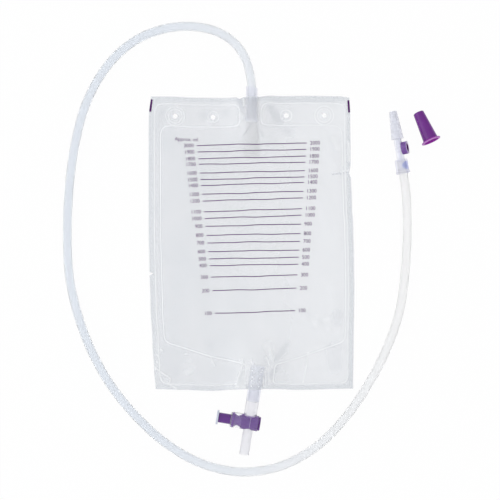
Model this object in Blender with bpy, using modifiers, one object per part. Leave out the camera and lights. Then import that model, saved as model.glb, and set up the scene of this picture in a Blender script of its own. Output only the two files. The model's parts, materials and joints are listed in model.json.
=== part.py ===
"""A two-litre urine drainage bag, lying on its back as it comes out of its wrapper.

Two PVC films are welded along two closed lines, which leave a pocket between them with an inlet
at the top and an outlet at the funnel. A drain tube runs from the inlet sleeve round the bag to a
stepped connector with a sampling port. A push-pull T tap hangs from the outlet sleeve: its plunger
has a waist that lets the urine pass once the plunger is pushed home. The connector's cap lies
beside it, taken off.

Metres, +Z up. The origin is the middle of the bag, on the underside of the back film. +Y runs from
the tap to the inlet.
"""

import math
from dataclasses import dataclass

import bmesh
import bpy
from mathutils import Euler, Vector
from mathutils.geometry import delaunay_2d_cdt

FIT = 0.0003  # between pieces that touch: a weld, a glued joint or a sliding fit
FLOOR_CLEARANCE = 0.0001

# The film bag, as cut
BAG_WIDTH = 0.2016
BAG_LENGTH = 0.2924
FILM = 0.0003
NOTCH_HEIGHT = -0.031  # the tear in the left edge, from the middle of the bag
NOTCH_DEPTH = 0.0026
NOTCH_WIDTH = 0.004

# How far each cut edge strays from the true rectangle, a limp film that never lies quite square.
# Pairs of (share of the edge, stray), from the bottom up or from left to right.
LEFT_STRAY = (
    (0.0, 0.0055), (0.075, 0.0038), (0.15, 0.0024), (0.29, 0.0003), (0.42, -0.0007),
    (0.53, -0.0015), (0.89, -0.0015), (0.95, -0.0011), (1.0, 0.0007),
)
RIGHT_STRAY = (
    (0.0, 0.0013), (0.15, 0.0018), (0.34, 0.0026), (0.435, 0.0022), (0.55, 0.0015),
    (0.63, 0.0001), (0.738, -0.0023), (0.77, -0.0013), (0.95, -0.0016), (1.0, -0.0025),
)
TOP_STRAY = (
    (0.0, 0.0002), (0.09, 0.0002), (0.24, -0.001), (0.43, -0.0014), (0.447, -0.003),
    (0.475, -0.0014), (0.54, -0.0012), (0.61, 0.0004), (0.785, 0.0009), (0.95, 0.0004),
    (1.0, -0.0007),
)
BOTTOM_STRAY = (
    (0.0, 0.0002), (0.137, -0.0006), (0.283, -0.0017), (0.478, 0.0015), (0.548, 0.0015),
    (0.715, -0.0006), (1.0, 0.0006),
)

# The weld lines, from the cut edges unless they say otherwise
OUTER_WELD_INSET = 0.0056
TOP_WELD_INSET = 0.0072
BOTTOM_WELD_INSET = 0.0055
INNER_WELD_INSET_LEFT = 0.0119
INNER_WELD_INSET_RIGHT = 0.0087
HEADER_DEPTH = 0.0292
FUNNEL_SHOULDER = 0.0475  # from the bottom edge to the start of the slope, at the side weld
FUNNEL_FOOT = 0.0245  # from the bottom edge to the end of the slope, at the outlet
INLET_GATE = 0.0105  # from the inlet's axis to the welds beside it
OUTLET_GATE = 0.0145
WELD_HALF_WIDTH = 0.0006
WELD_RIDGE = 0.00025
CORNER_RADIUS = 0.0075
INNER_CORNER_RADIUS = 0.0095
GATE_RADIUS = 0.0035

# The hanging holes in the header, each in its welded rings
HOLE_RADIUS = 0.0023
HOLE_DROP = 0.0194  # below the top edge
OUTER_HOLE_OFFSET = 0.0746  # from the middle of the bag
INNER_HOLE_OFFSET = 0.0366
OUTER_HOLE_RINGS = (0.0067, 0.0094)
INNER_HOLE_RINGS = (0.0056,)

# How far the films stand apart
POCKET_PUFF = 0.0021
BAND_PUFF = 0.0008
PUFF_REACH = 0.006  # from a weld, over which the film rises two thirds of the way
FOLD_FADE = 0.012  # from a weld, over which a fold fades out
PORT_SLOPE_REACH = 0.026  # over which the film comes down to the floor beside a sleeve
PORT_RUN_OUT = 0.036  # and beyond its inner end
PORT_OVERRUN = 0.006  # of the bend lines past the cut edge
SLACK_SHARE = 0.08  # of the lift, by which the films stand apart beside a sleeve
BENDS = (0.0, 0.3, 0.65, 1.0)  # shares of those two at which the film bends
FACET_ALLOWANCE = 0.03  # a share of a sleeve's radius, for the flat facets of the film round it
FLANK_ANGLE = math.radians(55)  # where the film leaves a sleeve and turns down to the weld

# Soft folds across the pocket: ((start), (end), half-width, height)
FOLDS = (
    ((-0.030, -0.060), (-0.014, -0.108), 0.009, 0.0008),
    ((0.024, -0.052), (0.012, -0.106), 0.008, 0.0008),
    ((0.050, -0.070), (0.020, -0.112), 0.009, 0.0006),
    ((-0.010, 0.106), (-0.034, 0.060), 0.009, 0.0007),
    ((0.012, 0.104), (0.030, 0.066), 0.009, 0.0006),
    ((0.070, 0.062), (0.086, 0.020), 0.010, 0.0008),
    ((-0.072, 0.010), (-0.058, -0.050), 0.011, 0.0007),
)

# The drain tube
TUBE_OD = 0.0086
TUBE_SPACING = 0.0185
TUBE_SIDES_RESOLUTION = 2
FINE_STEPS = 12  # from one point of the route to the next, while its length is measured
TUBE_RELAX = 0.052  # along the tube, from a raised end down to the floor

# Where the tube lies on the floor, from just outside the inlet sleeve to just before the connector
TUBE_ROUTE = (
    (-0.0003, 0.1640), (-0.0051, 0.1821), (-0.0163, 0.1989), (-0.0332, 0.2099), (-0.0526, 0.2148),
    (-0.0726, 0.2152), (-0.0923, 0.2114), (-0.1108, 0.2039), (-0.1273, 0.1925), (-0.1412, 0.1783),
    (-0.1526, 0.1620), (-0.1617, 0.1441), (-0.1686, 0.1254), (-0.1771, 0.0866), (-0.1814, 0.0470),
    (-0.1827, 0.0072), (-0.1807, -0.0325), (-0.1722, -0.0714), (-0.1581, -0.1086),
    (-0.1384, -0.1431), (-0.1130, -0.1738), (-0.0834, -0.2002), (-0.0486, -0.2196),
    (-0.0097, -0.2278), (0.0296, -0.2219), (0.0646, -0.2029), (0.0929, -0.1750),
    (0.1157, -0.1423), (0.1342, -0.1071), (0.1474, -0.0695), (0.1532, -0.0302), (0.1554, 0.0096),
    (0.1540, 0.0493),
)

# The inlet sleeve and the non-return valve below it
INLET_X = 0.0008
INLET_STUB = 0.0081  # above the bag's top edge
INLET_DEPTH = 0.0252  # below it, inside the bag
SLEEVE_WALL = 0.001
TUBE_END_IN_SLEEVE = 0.004  # from the sleeve's inner end to the tube's
VALVE_LENGTH = 0.036
VALVE_WIDTH = 0.0165
VALVE_FILM = 0.00025
VALVE_FLAT_AT = 0.74  # the share of a leaf's length at which it lies flat
LEAF_CLEARANCE = 2 * FIT  # from the back film up to the back leaf's lip
LEAF_STEPS = (8, 6)  # across and along

# The outlet sleeve and the T tap
OUTLET_X = 0.0033
OUTLET_TURN = math.radians(-9.2)
OUTLET_SLEEVE_OD = 0.013
OUTLET_SLEEVE_DEPTH = 0.0244
OUTLET_SLEEVE_STUB = 0.0102
SPIGOT_RADIUS = 0.005
SPIGOT_LENGTH = 0.0137
TAP_DROP = 0.0319  # from the bag's bottom edge to the barrel's axis
BARREL_OD = 0.0151
BARREL_BORE = 0.0128
BARREL_LEFT = 0.0189  # from the flow axis to the closed end
BARREL_RIGHT = 0.0091
BARREL_END_WALL = 0.0011
BARREL_EDGE_RADIUS = 0.0014
FLOW_BORE = 0.0076
SPOUT_OD = 0.0096
SPOUT_END = 0.0320  # from the barrel's axis

# The plunger
TRAVEL = 0.0115
STOP_CLEARANCE = 0.0004
SHAFT_RADIUS = 0.0046
WAIST_RADIUS = 0.0041
WAIST_LENGTH = 0.0079
WAIST_STEPS = 6
WAIST_FULLNESS = 1.5  # a higher power makes a narrower hollow
LIP_HEIGHT = 0.0003
LIP_LENGTH = 0.0011
END_PLATE_OD = 0.0135
END_PLATE_THICKNESS = 0.0015
BUTTON_OD = 0.0142
BUTTON_THICKNESS = 0.002
BUTTON_DISH = 0.0005
STEM_RADIUS = 0.0018
STEM_LENGTH = 0.0068

# The connector on the tube's far end
CONNECTOR_PLACE = (0.1511, 0.0690)  # the bottom of the tube socket
CONNECTOR_TURN = math.radians(9.6)
SOCKET_FLANGE_OD = 0.0136
SOCKET_FLANGE = 0.002
SOCKET_OD = 0.0123
SOCKET_LENGTH = 0.0138
TUBE_IN_SOCKET = 0.0115
NECK_RADIUS = 0.00375
CONE_START = 0.0346
CONE_LENGTH = 0.0275
CONE_BASE_RADIUS = 0.0061
CONE_TIP_RADIUS = 0.0037
CONE_STEPS = 7
CONE_PLAIN = 1.6  # the plain tip's length, in steps
CONE_BARB = 0.00022
BARB_LEAD = 0.08  # the share of a step that its barb takes to turn in
CONNECTOR_BORE = 0.0046
PORT_PLACE = 0.0245  # along the connector
PORT_TILT = math.radians(24)  # up from the floor
PORT_BOSS_RADIUS = 0.0050
PORT_BOSS_BACK = 0.0043
CUP_OD = 0.0125
CUP_START = 0.0026
CUP_END = 0.0088
CUP_WALL = 0.0006
CUP_FLOOR = 0.0009
SAMPLE_BORE = 0.003
PLUG_INSET = 0.0006  # the plug's face, below the cup's rim
PLUG_RECESS_RADIUS = 0.0038
PLUG_RECESS = 0.001

# The cap, taken off
CAP_MOUTH_PLACE = (0.1779, 0.1013)
CAP_HEADING = math.radians(22.5)  # of the small end, from +Y towards -X
CAP_LENGTH = 0.0309
CAP_TIP_RADIUS = 0.0053
CAP_BASE_RADIUS = 0.0074
CAP_FLANGE_RADIUS = 0.0096
CAP_FLANGE = 0.0013
CAP_WALL = 0.0011
CAP_TIP_ROUND = 0.0011
CAP_FILLET = (0.0008, 0.0008)  # out from the body and up from the flange
CAP_RIM = 0.0003  # the flange's broken edges
CAP_END_WALL = 0.0016

MERGE = 0.00001
FACETS = 24
CUT_OVERRUN = 0.002  # of a cutter past the face that it leaves by

# The film's mesh
EDGE_STEP = 0.022
WELD_STEP = 0.026
GRID_STEP = 0.0195
BACK_GRID_STEP = 0.034
RING_FACETS = 12
ARC_STEPS = 3
GRID_CLEARANCE = 0.45  # of a step, between a grid point and the nearest line


def clear_scene():
    """Removes every object that is in the file."""
    for obj in list(bpy.data.objects):
        bpy.data.objects.remove(obj, do_unlink=True)


def make_collection(name):
    """A collection of that name, linked to the scene."""
    made = bpy.data.collections.new(name)
    bpy.context.scene.collection.children.link(made)
    return made


def make_material(name, color, roughness, alpha=1.0, transmission=0.0):
    """A Principled material of one plain colour."""
    made = bpy.data.materials.new(name)
    made.use_nodes = True
    shader = made.node_tree.nodes["Principled BSDF"]
    shader.inputs["Base Color"].default_value = (*color, 1.0)
    shader.inputs["Roughness"].default_value = roughness
    shader.inputs["Metallic"].default_value = 0.0
    shader.inputs["Alpha"].default_value = alpha
    shader.inputs["Transmission Weight"].default_value = transmission
    return made


clear_scene()
PARTS = make_collection("urine_drainage_bag")
CUTTERS = make_collection("cutters")

FILM_PVC = make_material("film_pvc", (0.76, 0.78, 0.80), 0.35, alpha=0.6)
CLEAR_PVC = make_material("clear_pvc_tubing", (0.80, 0.80, 0.88), 0.2, alpha=0.55)
CLEAR_ABS = make_material("clear_tap_plastic", (0.84, 0.84, 0.87), 0.15, alpha=0.5)
WHITE_PLASTIC = make_material("white_button_plastic", (0.86, 0.87, 0.90), 0.3)
PURPLE_PLASTIC = make_material("purple_plastic", (0.13, 0.035, 0.20), 0.35)
PURPLE_RUBBER = make_material("purple_rubber", (0.10, 0.03, 0.14), 0.6)


def add_object(name, data, material=None, collection=PARTS):
    """An object for the data, in a collection, with its material."""
    made = bpy.data.objects.new(name, data)
    collection.objects.link(made)
    if material is not None:
        data.materials.append(material)
    if collection is CUTTERS:
        made.hide_render = True
        made.display_type = "WIRE"
    return made


def add_frame(name, place, rotation, parent=None):
    """An empty that a sub-assembly is built on."""
    frame = bpy.data.objects.new(name, None)
    PARTS.objects.link(frame)
    frame.location = place
    frame.rotation_euler = rotation
    frame.parent = parent
    return frame


def turned(name, profile, material=None, parent=None, facets=FACETS, collection=PARTS, close=False):
    """A shape turned about its own Z, from (radius, height) points that run down its outer side.

    A profile that starts and ends on the axis is solid there. One with close set is a ring.
    """
    mesh = bpy.data.meshes.new(name)
    points = [(radius, 0.0, height) for radius, height in profile]
    edges = [(i, i + 1) for i in range(len(points) - 1)]
    if close:
        edges.append((len(points) - 1, 0))
    mesh.from_pydata(points, edges, [])
    obj = add_object(name, mesh, material, collection)
    obj.parent = parent
    screw = obj.modifiers.new("turn", "SCREW")
    screw.axis = "Z"
    screw.angle = math.tau
    screw.steps = facets
    screw.render_steps = facets
    screw.use_merge_vertices = True
    screw.merge_threshold = MERGE
    screw.use_smooth_shade = True
    return obj


def boolean(obj, operation, other):
    """Joins the other object to this one, or cuts it away."""
    modifier = obj.modifiers.new(other.name, "BOOLEAN")
    modifier.operation = operation
    modifier.solver = "EXACT"
    modifier.object = other


def arc(centre, radius, start, end, steps):
    """Points on an arc of a profile, both ends included, with angles in degrees."""
    found = []
    for i in range(steps + 1):
        angle = math.radians(start + (end - start) * i / steps)
        found.append((centre[0] + radius * math.cos(angle), centre[1] + radius * math.sin(angle)))
    return found


def ease(share):
    """0 to 1, level at both ends."""
    share = min(max(share, 0.0), 1.0)
    return share * share * (3.0 - 2.0 * share)


def falloff(distance, reach):
    """1 at no distance, easing to 0 at the reach."""
    return 1.0 - ease(distance / reach)


def bent_falloff(distance, reach):
    """The same in straight steps between the bend lines, so that both films' facets agree."""
    share = min(max(distance / reach, 0.0), 1.0)
    for start, end in zip(BENDS, BENDS[1:]):
        if share <= end:
            before, after = 1.0 - ease(start), 1.0 - ease(end)
            return before + (after - before) * (share - start) / (end - start)
    return 0.0


def stray_at(table, share):
    """The stray of a cut edge at a share of its length."""
    share = min(max(share, 0.0), 1.0)
    for (start, before), (end, after) in zip(table, table[1:]):
        if share <= end:
            return before + (after - before) * ease((share - start) / (end - start))
    return table[-1][1]


def as_laid(point):
    """Where a point of the true rectangle lies, once the film's edges have strayed."""
    x, y = point
    across = x / BAG_WIDTH + 0.5
    along = y / BAG_LENGTH + 0.5
    left, right = stray_at(LEFT_STRAY, along), stray_at(RIGHT_STRAY, along)
    bottom, top = stray_at(BOTTOM_STRAY, across), stray_at(TOP_STRAY, across)
    return (x + left + (right - left) * across, y + bottom + (top - bottom) * along)


def divided(start, end, step):
    """Points from start towards end at about one step, without the end."""
    span = Vector(end) - Vector(start)
    count = max(1, round(span.length / step))
    return [tuple(Vector(start) + span * (i / count)) for i in range(count)]


def film_outline():
    """The cut edge of the films, once round, with the tear in its left side."""
    right, top = BAG_WIDTH / 2, BAG_LENGTH / 2
    left, bottom = -right, -top
    notch_low = (left, NOTCH_HEIGHT - NOTCH_WIDTH / 2)
    notch_high = (left, NOTCH_HEIGHT + NOTCH_WIDTH / 2)
    corners = [
        (left, bottom), (right, bottom), (right, top), (left, top),
        notch_high, (left + NOTCH_DEPTH, NOTCH_HEIGHT), notch_low,
    ]
    points = []
    for start, end in zip(corners, corners[1:] + corners[:1]):
        points += divided(start, end, EDGE_STEP)
    return [as_laid(point) for point in points]


def rounded_loop(corners):
    """A closed line through corners of (x, y, radius), its straights divided."""
    points = []
    leaving = []
    for i, (x, y, radius) in enumerate(corners):
        corner = Vector((x, y))
        before = Vector(corners[i - 1][:2]) - corner
        after = Vector(corners[(i + 1) % len(corners)][:2]) - corner
        half = before.angle(after) / 2
        reach = radius / math.tan(half)
        enter = corner + before.normalized() * reach
        leave = corner + after.normalized() * reach
        bend = [
            enter.lerp(corner, share).lerp(corner.lerp(leave, share), share)
            for share in (step / ARC_STEPS for step in range(ARC_STEPS + 1))
        ]
        leaving.append((bend, leave))
    for i, (bend, leave) in enumerate(leaving):
        points += [tuple(point) for point in bend[:-1]]
        points += divided(leave, leaving[(i + 1) % len(leaving)][0][0], WELD_STEP)
    return points


def weld_loop(side):
    """The closed weld line on one side of the ports: -1 for left, 1 for right."""
    right, top = BAG_WIDTH / 2, BAG_LENGTH / 2
    outer = side * (right - OUTER_WELD_INSET)
    inner = side * (right - (INNER_WELD_INSET_LEFT if side < 0 else INNER_WELD_INSET_RIGHT))
    inlet_gate = INLET_X + side * INLET_GATE
    foot = -top + FUNNEL_FOOT
    outlet_lean = math.tan(-OUTLET_TURN)
    outlet_at_foot = OUTLET_X + FUNNEL_FOOT * outlet_lean + side * OUTLET_GATE
    outlet_at_edge = OUTLET_X + BOTTOM_WELD_INSET * outlet_lean + side * OUTLET_GATE
    return [
        as_laid(point)
        for point in rounded_loop(
            [
                (inlet_gate, top - TOP_WELD_INSET, CORNER_RADIUS),
                (outer, top - TOP_WELD_INSET, CORNER_RADIUS),
                (outer, -top + BOTTOM_WELD_INSET, CORNER_RADIUS),
                (outlet_at_edge, -top + BOTTOM_WELD_INSET, GATE_RADIUS),
                (outlet_at_foot, foot, GATE_RADIUS),
                (inner, -top + FUNNEL_SHOULDER, CORNER_RADIUS),
                (inner, top - HEADER_DEPTH, INNER_CORNER_RADIUS),
                (inlet_gate, top - HEADER_DEPTH, CORNER_RADIUS),
            ]
        )
    ]


def circle(centre, radius, facets):
    """Points round a circle."""
    return [
        (
            centre[0] + radius * math.cos(math.tau * i / facets),
            centre[1] + radius * math.sin(math.tau * i / facets),
        )
        for i in range(facets)
    ]


def beside(loop, distance):
    """The closed line moved sideways by a distance."""
    moved = []
    for i, point in enumerate(loop):
        along = Vector(loop[(i + 1) % len(loop)]) - Vector(loop[i - 1])
        normal = Vector((-along.y, along.x)).normalized()
        moved.append(tuple(Vector(point) + normal * distance))
    return moved


def distance_to_lines(point, segments):
    """The least distance from a point to any of the segments."""
    x, y = point
    best = math.inf
    for (ax, ay), (bx, by) in segments:
        dx, dy = bx - ax, by - ay
        share = ((x - ax) * dx + (y - ay) * dy) / (dx * dx + dy * dy)
        share = min(max(share, 0.0), 1.0)
        best = min(best, math.hypot(x - ax - share * dx, y - ay - share * dy))
    return best


def inside(point, loop):
    """Whether a point lies inside a closed line."""
    x, y = point
    found = False
    for i, (bx, by) in enumerate(loop):
        ax, ay = loop[i - 1]
        if (ay > y) != (by > y) and x < ax + (bx - ax) * (y - ay) / (by - ay):
            found = not found
    return found


@dataclass(frozen=True)
class Port:
    """A sleeve between the films, with its axis from the cut edge into the bag."""

    edge: Vector
    inward: Vector
    height: float
    sleeve_radius: float
    depth: float

    @property
    def film_radius(self):
        """The films' inner face round the sleeve, allowing for its flat facets."""
        return self.sleeve_radius * (1 + FACET_ALLOWANCE) + FIT

    @property
    def flank(self):
        """Half the width between the welds beside the sleeve."""
        leave = self.film_radius * math.sin(FLANK_ANGLE)
        return leave + self.film_radius * math.cos(FLANK_ANGLE) / math.tan(FLANK_ANGLE)

    def place(self, along, across):
        """The point that far along the axis and to its right."""
        right = Vector((self.inward.y, -self.inward.x))
        return tuple(self.edge + self.inward * along + right * across)

    def measure(self, point):
        """(along, across) of a point."""
        offset = Vector(point) - self.edge
        return offset.dot(self.inward), offset.dot(Vector((self.inward.y, -self.inward.x)))

    def lens(self, across):
        """Half the height that the films stand apart, at a distance across the axis."""
        across = abs(across)
        leave = self.film_radius * math.sin(FLANK_ANGLE)
        if across <= leave:
            return math.sqrt(self.film_radius**2 - across**2)
        return max(0.0, (self.flank - across) * math.tan(FLANK_ANGLE))

    def lift(self, point):
        """(how far the films' middle is lifted, half their opening) at a point."""
        along, across = self.measure(point)
        run = bent_falloff(max(0.0, along - self.depth), PORT_RUN_OUT)
        slope = bent_falloff(max(0.0, abs(across) - self.flank), PORT_SLOPE_REACH)
        return run * slope * (self.height - FILM), run * self.lens(across)

    def lines(self):
        """Lines along the axis and across it, where the film bends."""
        leave = self.film_radius * math.sin(FLANK_ANGLE)
        half_leave = self.film_radius * math.sin(FLANK_ANGLE / 2)
        offsets = [half_leave, leave, *(self.flank + PORT_SLOPE_REACH * bend for bend in BENDS)]
        offsets = [-offset for offset in reversed(offsets)] + [0.0] + offsets
        stations = [-PORT_OVERRUN, self.depth / 2]
        stations += [self.depth + PORT_RUN_OUT * bend for bend in BENDS]
        along_axis = [[self.place(along, across) for along in stations] for across in offsets]
        across_axis = [[self.place(along, across) for across in offsets] for along in stations]
        return along_axis + across_axis


INLET_SLEEVE_BORE = TUBE_OD + 2 * FIT
INLET_SLEEVE_OD = INLET_SLEEVE_BORE + 2 * SLEEVE_WALL
INLET_HEIGHT = INLET_SLEEVE_OD / 2 * (1 + FACET_ALLOWANCE) + FIT + FILM
OUTLET_HEIGHT = max(
    OUTLET_SLEEVE_OD / 2 * (1 + FACET_ALLOWANCE) + FIT + FILM,
    BARREL_OD / 2 + FLOOR_CLEARANCE,
)
INLET = Port(
    Vector((INLET_X, BAG_LENGTH / 2)),
    Vector((0.0, -1.0)),
    INLET_HEIGHT,
    INLET_SLEEVE_OD / 2,
    INLET_DEPTH,
)
OUTLET = Port(
    Vector((OUTLET_X, -BAG_LENGTH / 2)),
    Vector((math.sin(-OUTLET_TURN), math.cos(OUTLET_TURN))),
    OUTLET_HEIGHT,
    OUTLET_SLEEVE_OD / 2,
    OUTLET_SLEEVE_DEPTH,
)
PORTS = (INLET, OUTLET)


def hanging_holes():
    """(centre, ring radii) of each hole in the header."""
    height = BAG_LENGTH / 2 - HOLE_DROP
    return [
        (as_laid((side * offset, height)), rings)
        for offset, rings in (
            (OUTER_HOLE_OFFSET, OUTER_HOLE_RINGS),
            (INNER_HOLE_OFFSET, INNER_HOLE_RINGS),
        )
        for side in (-1, 1)
    ]


def closed_segments(loop):
    """The segments of a closed line."""
    return [(loop[i - 1], loop[i]) for i in range(len(loop))]


WELDS = [weld_loop(-1), weld_loop(1)]
WELD_SEGMENTS = [segment for loop in WELDS for segment in closed_segments(loop)]
HOLES = hanging_holes()


def port_lift(point):
    """The lift and half-opening of the films at a point, from whichever port is nearer."""
    lifts = [port.lift(point) for port in PORTS]
    return max(lifts, key=lambda pair: pair[0] + pair[1])


def ring_distance(point):
    """Distances from a point to the nearest ring's line, and to the nearest ringed disc."""
    to_line, to_disc = math.inf, math.inf
    for centre, rings in HOLES:
        radius = math.dist(point, centre)
        to_line = min(to_line, *(abs(radius - ring) for ring in rings))
        to_disc = min(to_disc, max(0.0, radius - max(rings)))
    return to_line, to_disc


def puff_at(point):
    """How far the front film stands up from the back one at a point, welds and ridges included."""
    to_weld = distance_to_lines(point, WELD_SEGMENTS)
    to_ring, to_disc = ring_distance(point)
    ridge = WELD_RIDGE * max(0.0, 1.0 - min(to_weld, to_ring) / WELD_HALF_WIDTH)
    clear = max(0.0, min(to_weld, to_disc) - WELD_HALF_WIDTH)
    right, top = BAG_WIDTH / 2 - OUTER_WELD_INSET, BAG_LENGTH / 2 - TOP_WELD_INSET
    if any(inside(point, loop) for loop in WELDS):
        height = BAND_PUFF
    elif abs(point[0]) < right and abs(point[1]) < top:
        height = POCKET_PUFF
    else:
        height = 0.0
    puff = height * (1.0 - math.exp(-clear / PUFF_REACH))
    if height == POCKET_PUFF:
        for start, end, half_width, rise in FOLDS:
            off = distance_to_lines(point, [(start, end)])
            puff += rise * math.exp(-((off / half_width) ** 2)) * min(1.0, clear / FOLD_FADE)
    return ridge + puff


def front_height(point):
    """The underside of the front film, which is drawn tight over a sleeve."""
    lift, opening = port_lift(point)
    slack = 1.0 - min(1.0, opening / OUTLET.film_radius)
    return FILM + FIT + lift + opening + (SLACK_SHARE * lift + puff_at(point)) * slack


def back_height(point):
    """The upper side of the back film."""
    lift, opening = port_lift(point)
    return FILM + max(0.0, lift - opening)


def film_lines(with_welds):
    """The closed and the open lines that the film's mesh has to follow."""
    closed = [film_outline()]
    for centre, rings in HOLES:
        closed.append(circle(centre, HOLE_RADIUS, RING_FACETS))
        if with_welds:
            for ring in rings:
                for radius in (ring - WELD_HALF_WIDTH, ring, ring + WELD_HALF_WIDTH):
                    closed.append(circle(centre, radius, RING_FACETS))
    if with_welds:
        for loop in WELDS:
            closed += [loop, beside(loop, WELD_HALF_WIDTH), beside(loop, -WELD_HALF_WIDTH)]
    opened = [line for port in PORTS for line in port.lines()]
    return closed, opened


def film_mesh(name, with_welds, grid_step, height_at):
    """The film as an open surface: a triangulation that follows its lines, lifted to its height."""
    closed, opened = film_lines(with_welds)
    points, edges = [], []
    for line, is_closed in [(line, True) for line in closed] + [(line, False) for line in opened]:
        first = len(points)
        points += [Vector(point) for point in line]
        edges += [(i, i + 1) for i in range(first, len(points) - 1)]
        if is_closed:
            edges.append((len(points) - 1, first))
    taken = [segment for line in closed for segment in closed_segments(line)]
    taken += [segment for line in opened for segment in zip(line, line[1:])]
    columns, rows = int(BAG_WIDTH / grid_step), int(BAG_LENGTH / grid_step)
    for row in range(1, rows):
        for column in range(1, columns):
            shift = 0.5 if row % 2 else 0.0
            point = (
                BAG_WIDTH * ((column + shift) / columns - 0.5),
                BAG_LENGTH * (row / rows - 0.5),
            )
            if distance_to_lines(point, taken) > grid_step * GRID_CLEARANCE:
                points.append(Vector(point))
    verts, _, faces, _, _, _ = delaunay_2d_cdt(points, edges, [], 0, 1e-7, False)
    outline, holes = closed[0], [circle(centre, HOLE_RADIUS, RING_FACETS) for centre, _ in HOLES]
    kept = []
    for face in faces:
        middle = sum((verts[i] for i in face), Vector((0.0, 0.0))) / len(face)
        if inside(middle, outline) and not any(inside(middle, hole) for hole in holes):
            kept.append(face)
    mesh = bpy.data.meshes.new(name)
    mesh.from_pydata([(v.x, v.y, height_at((v.x, v.y))) for v in verts], [], kept)
    work = bmesh.new()
    work.from_mesh(mesh)
    loose = [vert for vert in work.verts if not vert.link_faces]
    bmesh.ops.delete(work, geom=loose, context="VERTS")
    bmesh.ops.recalc_face_normals(work, faces=work.faces)
    if sum(face.normal.z for face in work.faces) < 0:
        bmesh.ops.reverse_faces(work, faces=work.faces)
    work.to_mesh(mesh)
    work.free()
    return mesh


def add_film(name, with_welds, grid_step, height_at, grows):
    """One film, from the face that it turns to the other film, grown outwards by its thickness."""
    film = add_object(name, film_mesh(name, with_welds, grid_step, height_at), FILM_PVC)
    solidify = film.modifiers.new("thickness", "SOLIDIFY")
    solidify.thickness = FILM
    solidify.offset = grows
    solidify.use_rim = True
    return film


def add_valve_leaf(name, side):
    """One film leaf of the non-return valve: half round at the sleeve, flat at its lips."""
    across_steps, along_steps = LEAF_STEPS
    half_gap = FIT / 2
    mean_radius = (INLET_SLEEVE_BORE + INLET_SLEEVE_OD) / 4
    start = BAG_LENGTH / 2 - INLET_DEPTH - FIT
    work = bmesh.new()
    bmesh.ops.create_grid(work, x_segments=across_steps, y_segments=along_steps, size=0.5)
    for vert in work.verts:
        angle = (vert.co.x + 0.5) * math.pi
        along = 0.5 - vert.co.y
        flat = ease(along / VALVE_FLAT_AT)
        x = -math.cos(angle) * mean_radius * (1 - flat) + vert.co.x * VALVE_WIDTH * flat
        opening = math.sin(angle) * mean_radius * (1 - flat)
        y = start - along * VALVE_LENGTH
        lift, _ = INLET.lift((INLET_X + x, y))
        middle = FILM + lift + (LEAF_CLEARANCE + VALVE_FILM + half_gap) * flat
        vert.co = Vector((INLET_X + x, y, middle + side * (half_gap + opening)))
    bmesh.ops.recalc_face_normals(work, faces=work.faces)
    if sum(face.normal.z for face in work.faces) * side < 0:
        bmesh.ops.reverse_faces(work, faces=work.faces)
    mesh = bpy.data.meshes.new(name)
    work.to_mesh(mesh)
    work.free()
    leaf = add_object(name, mesh, FILM_PVC)
    solidify = leaf.modifiers.new("thickness", "SOLIDIFY")
    solidify.thickness = VALVE_FILM
    solidify.offset = 1.0
    return leaf


def add_sleeve(name, radius, bore, length, parent):
    """A plain length of soft tubing along its frame's Z, from 0 up."""
    return turned(
        name,
        [(bore, length), (radius, length), (radius, 0.0), (bore, 0.0)],
        CLEAR_PVC,
        parent,
        close=True,
    )


def add_inlet():
    """The sleeve welded into the top edge, and the valve that hangs from it."""
    frame = add_frame(
        "inlet_frame",
        (INLET_X, BAG_LENGTH / 2 - INLET_DEPTH, INLET_HEIGHT),
        Euler((-math.pi / 2, 0.0, 0.0)),
    )
    length = INLET_DEPTH + INLET_STUB
    add_sleeve("inlet_sleeve", INLET_SLEEVE_OD / 2, INLET_SLEEVE_BORE / 2, length, frame)
    add_valve_leaf("valve_front_leaf", 1)
    add_valve_leaf("valve_back_leaf", -1)


def smooth_route(stations, spacing):
    """Points at even spacing along a smooth curve through the stations."""
    fine = []
    padded = [stations[0] * 2 - stations[1], *stations, stations[-1] * 2 - stations[-2]]
    for a, b, c, d in zip(padded, padded[1:], padded[2:], padded[3:]):
        t0, t1 = 0.0, math.sqrt((b - a).length)
        t2 = t1 + math.sqrt((c - b).length)
        t3 = t2 + math.sqrt((d - c).length)
        for i in range(FINE_STEPS):
            t = t1 + (t2 - t1) * i / FINE_STEPS
            ab = a * ((t1 - t) / (t1 - t0)) + b * ((t - t0) / (t1 - t0))
            bc = b * ((t2 - t) / (t2 - t1)) + c * ((t - t1) / (t2 - t1))
            cd = c * ((t3 - t) / (t3 - t2)) + d * ((t - t2) / (t3 - t2))
            abc = ab * ((t2 - t) / (t2 - t0)) + bc * ((t - t0) / (t2 - t0))
            bcd = bc * ((t3 - t) / (t3 - t1)) + cd * ((t - t1) / (t3 - t1))
            fine.append(abc * ((t2 - t) / (t2 - t1)) + bcd * ((t - t1) / (t2 - t1)))
    fine.append(stations[-1])
    lengths = [0.0]
    for before, after in zip(fine, fine[1:]):
        lengths.append(lengths[-1] + (after - before).length)
    count = round(lengths[-1] / spacing)
    points, at = [], 0
    for i in range(count + 1):
        want = lengths[-1] * i / count
        while at < len(fine) - 2 and lengths[at + 1] < want:
            at += 1
        share = (want - lengths[at]) / (lengths[at + 1] - lengths[at])
        points.append(fine[at].lerp(fine[at + 1], share))
    return points


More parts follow.
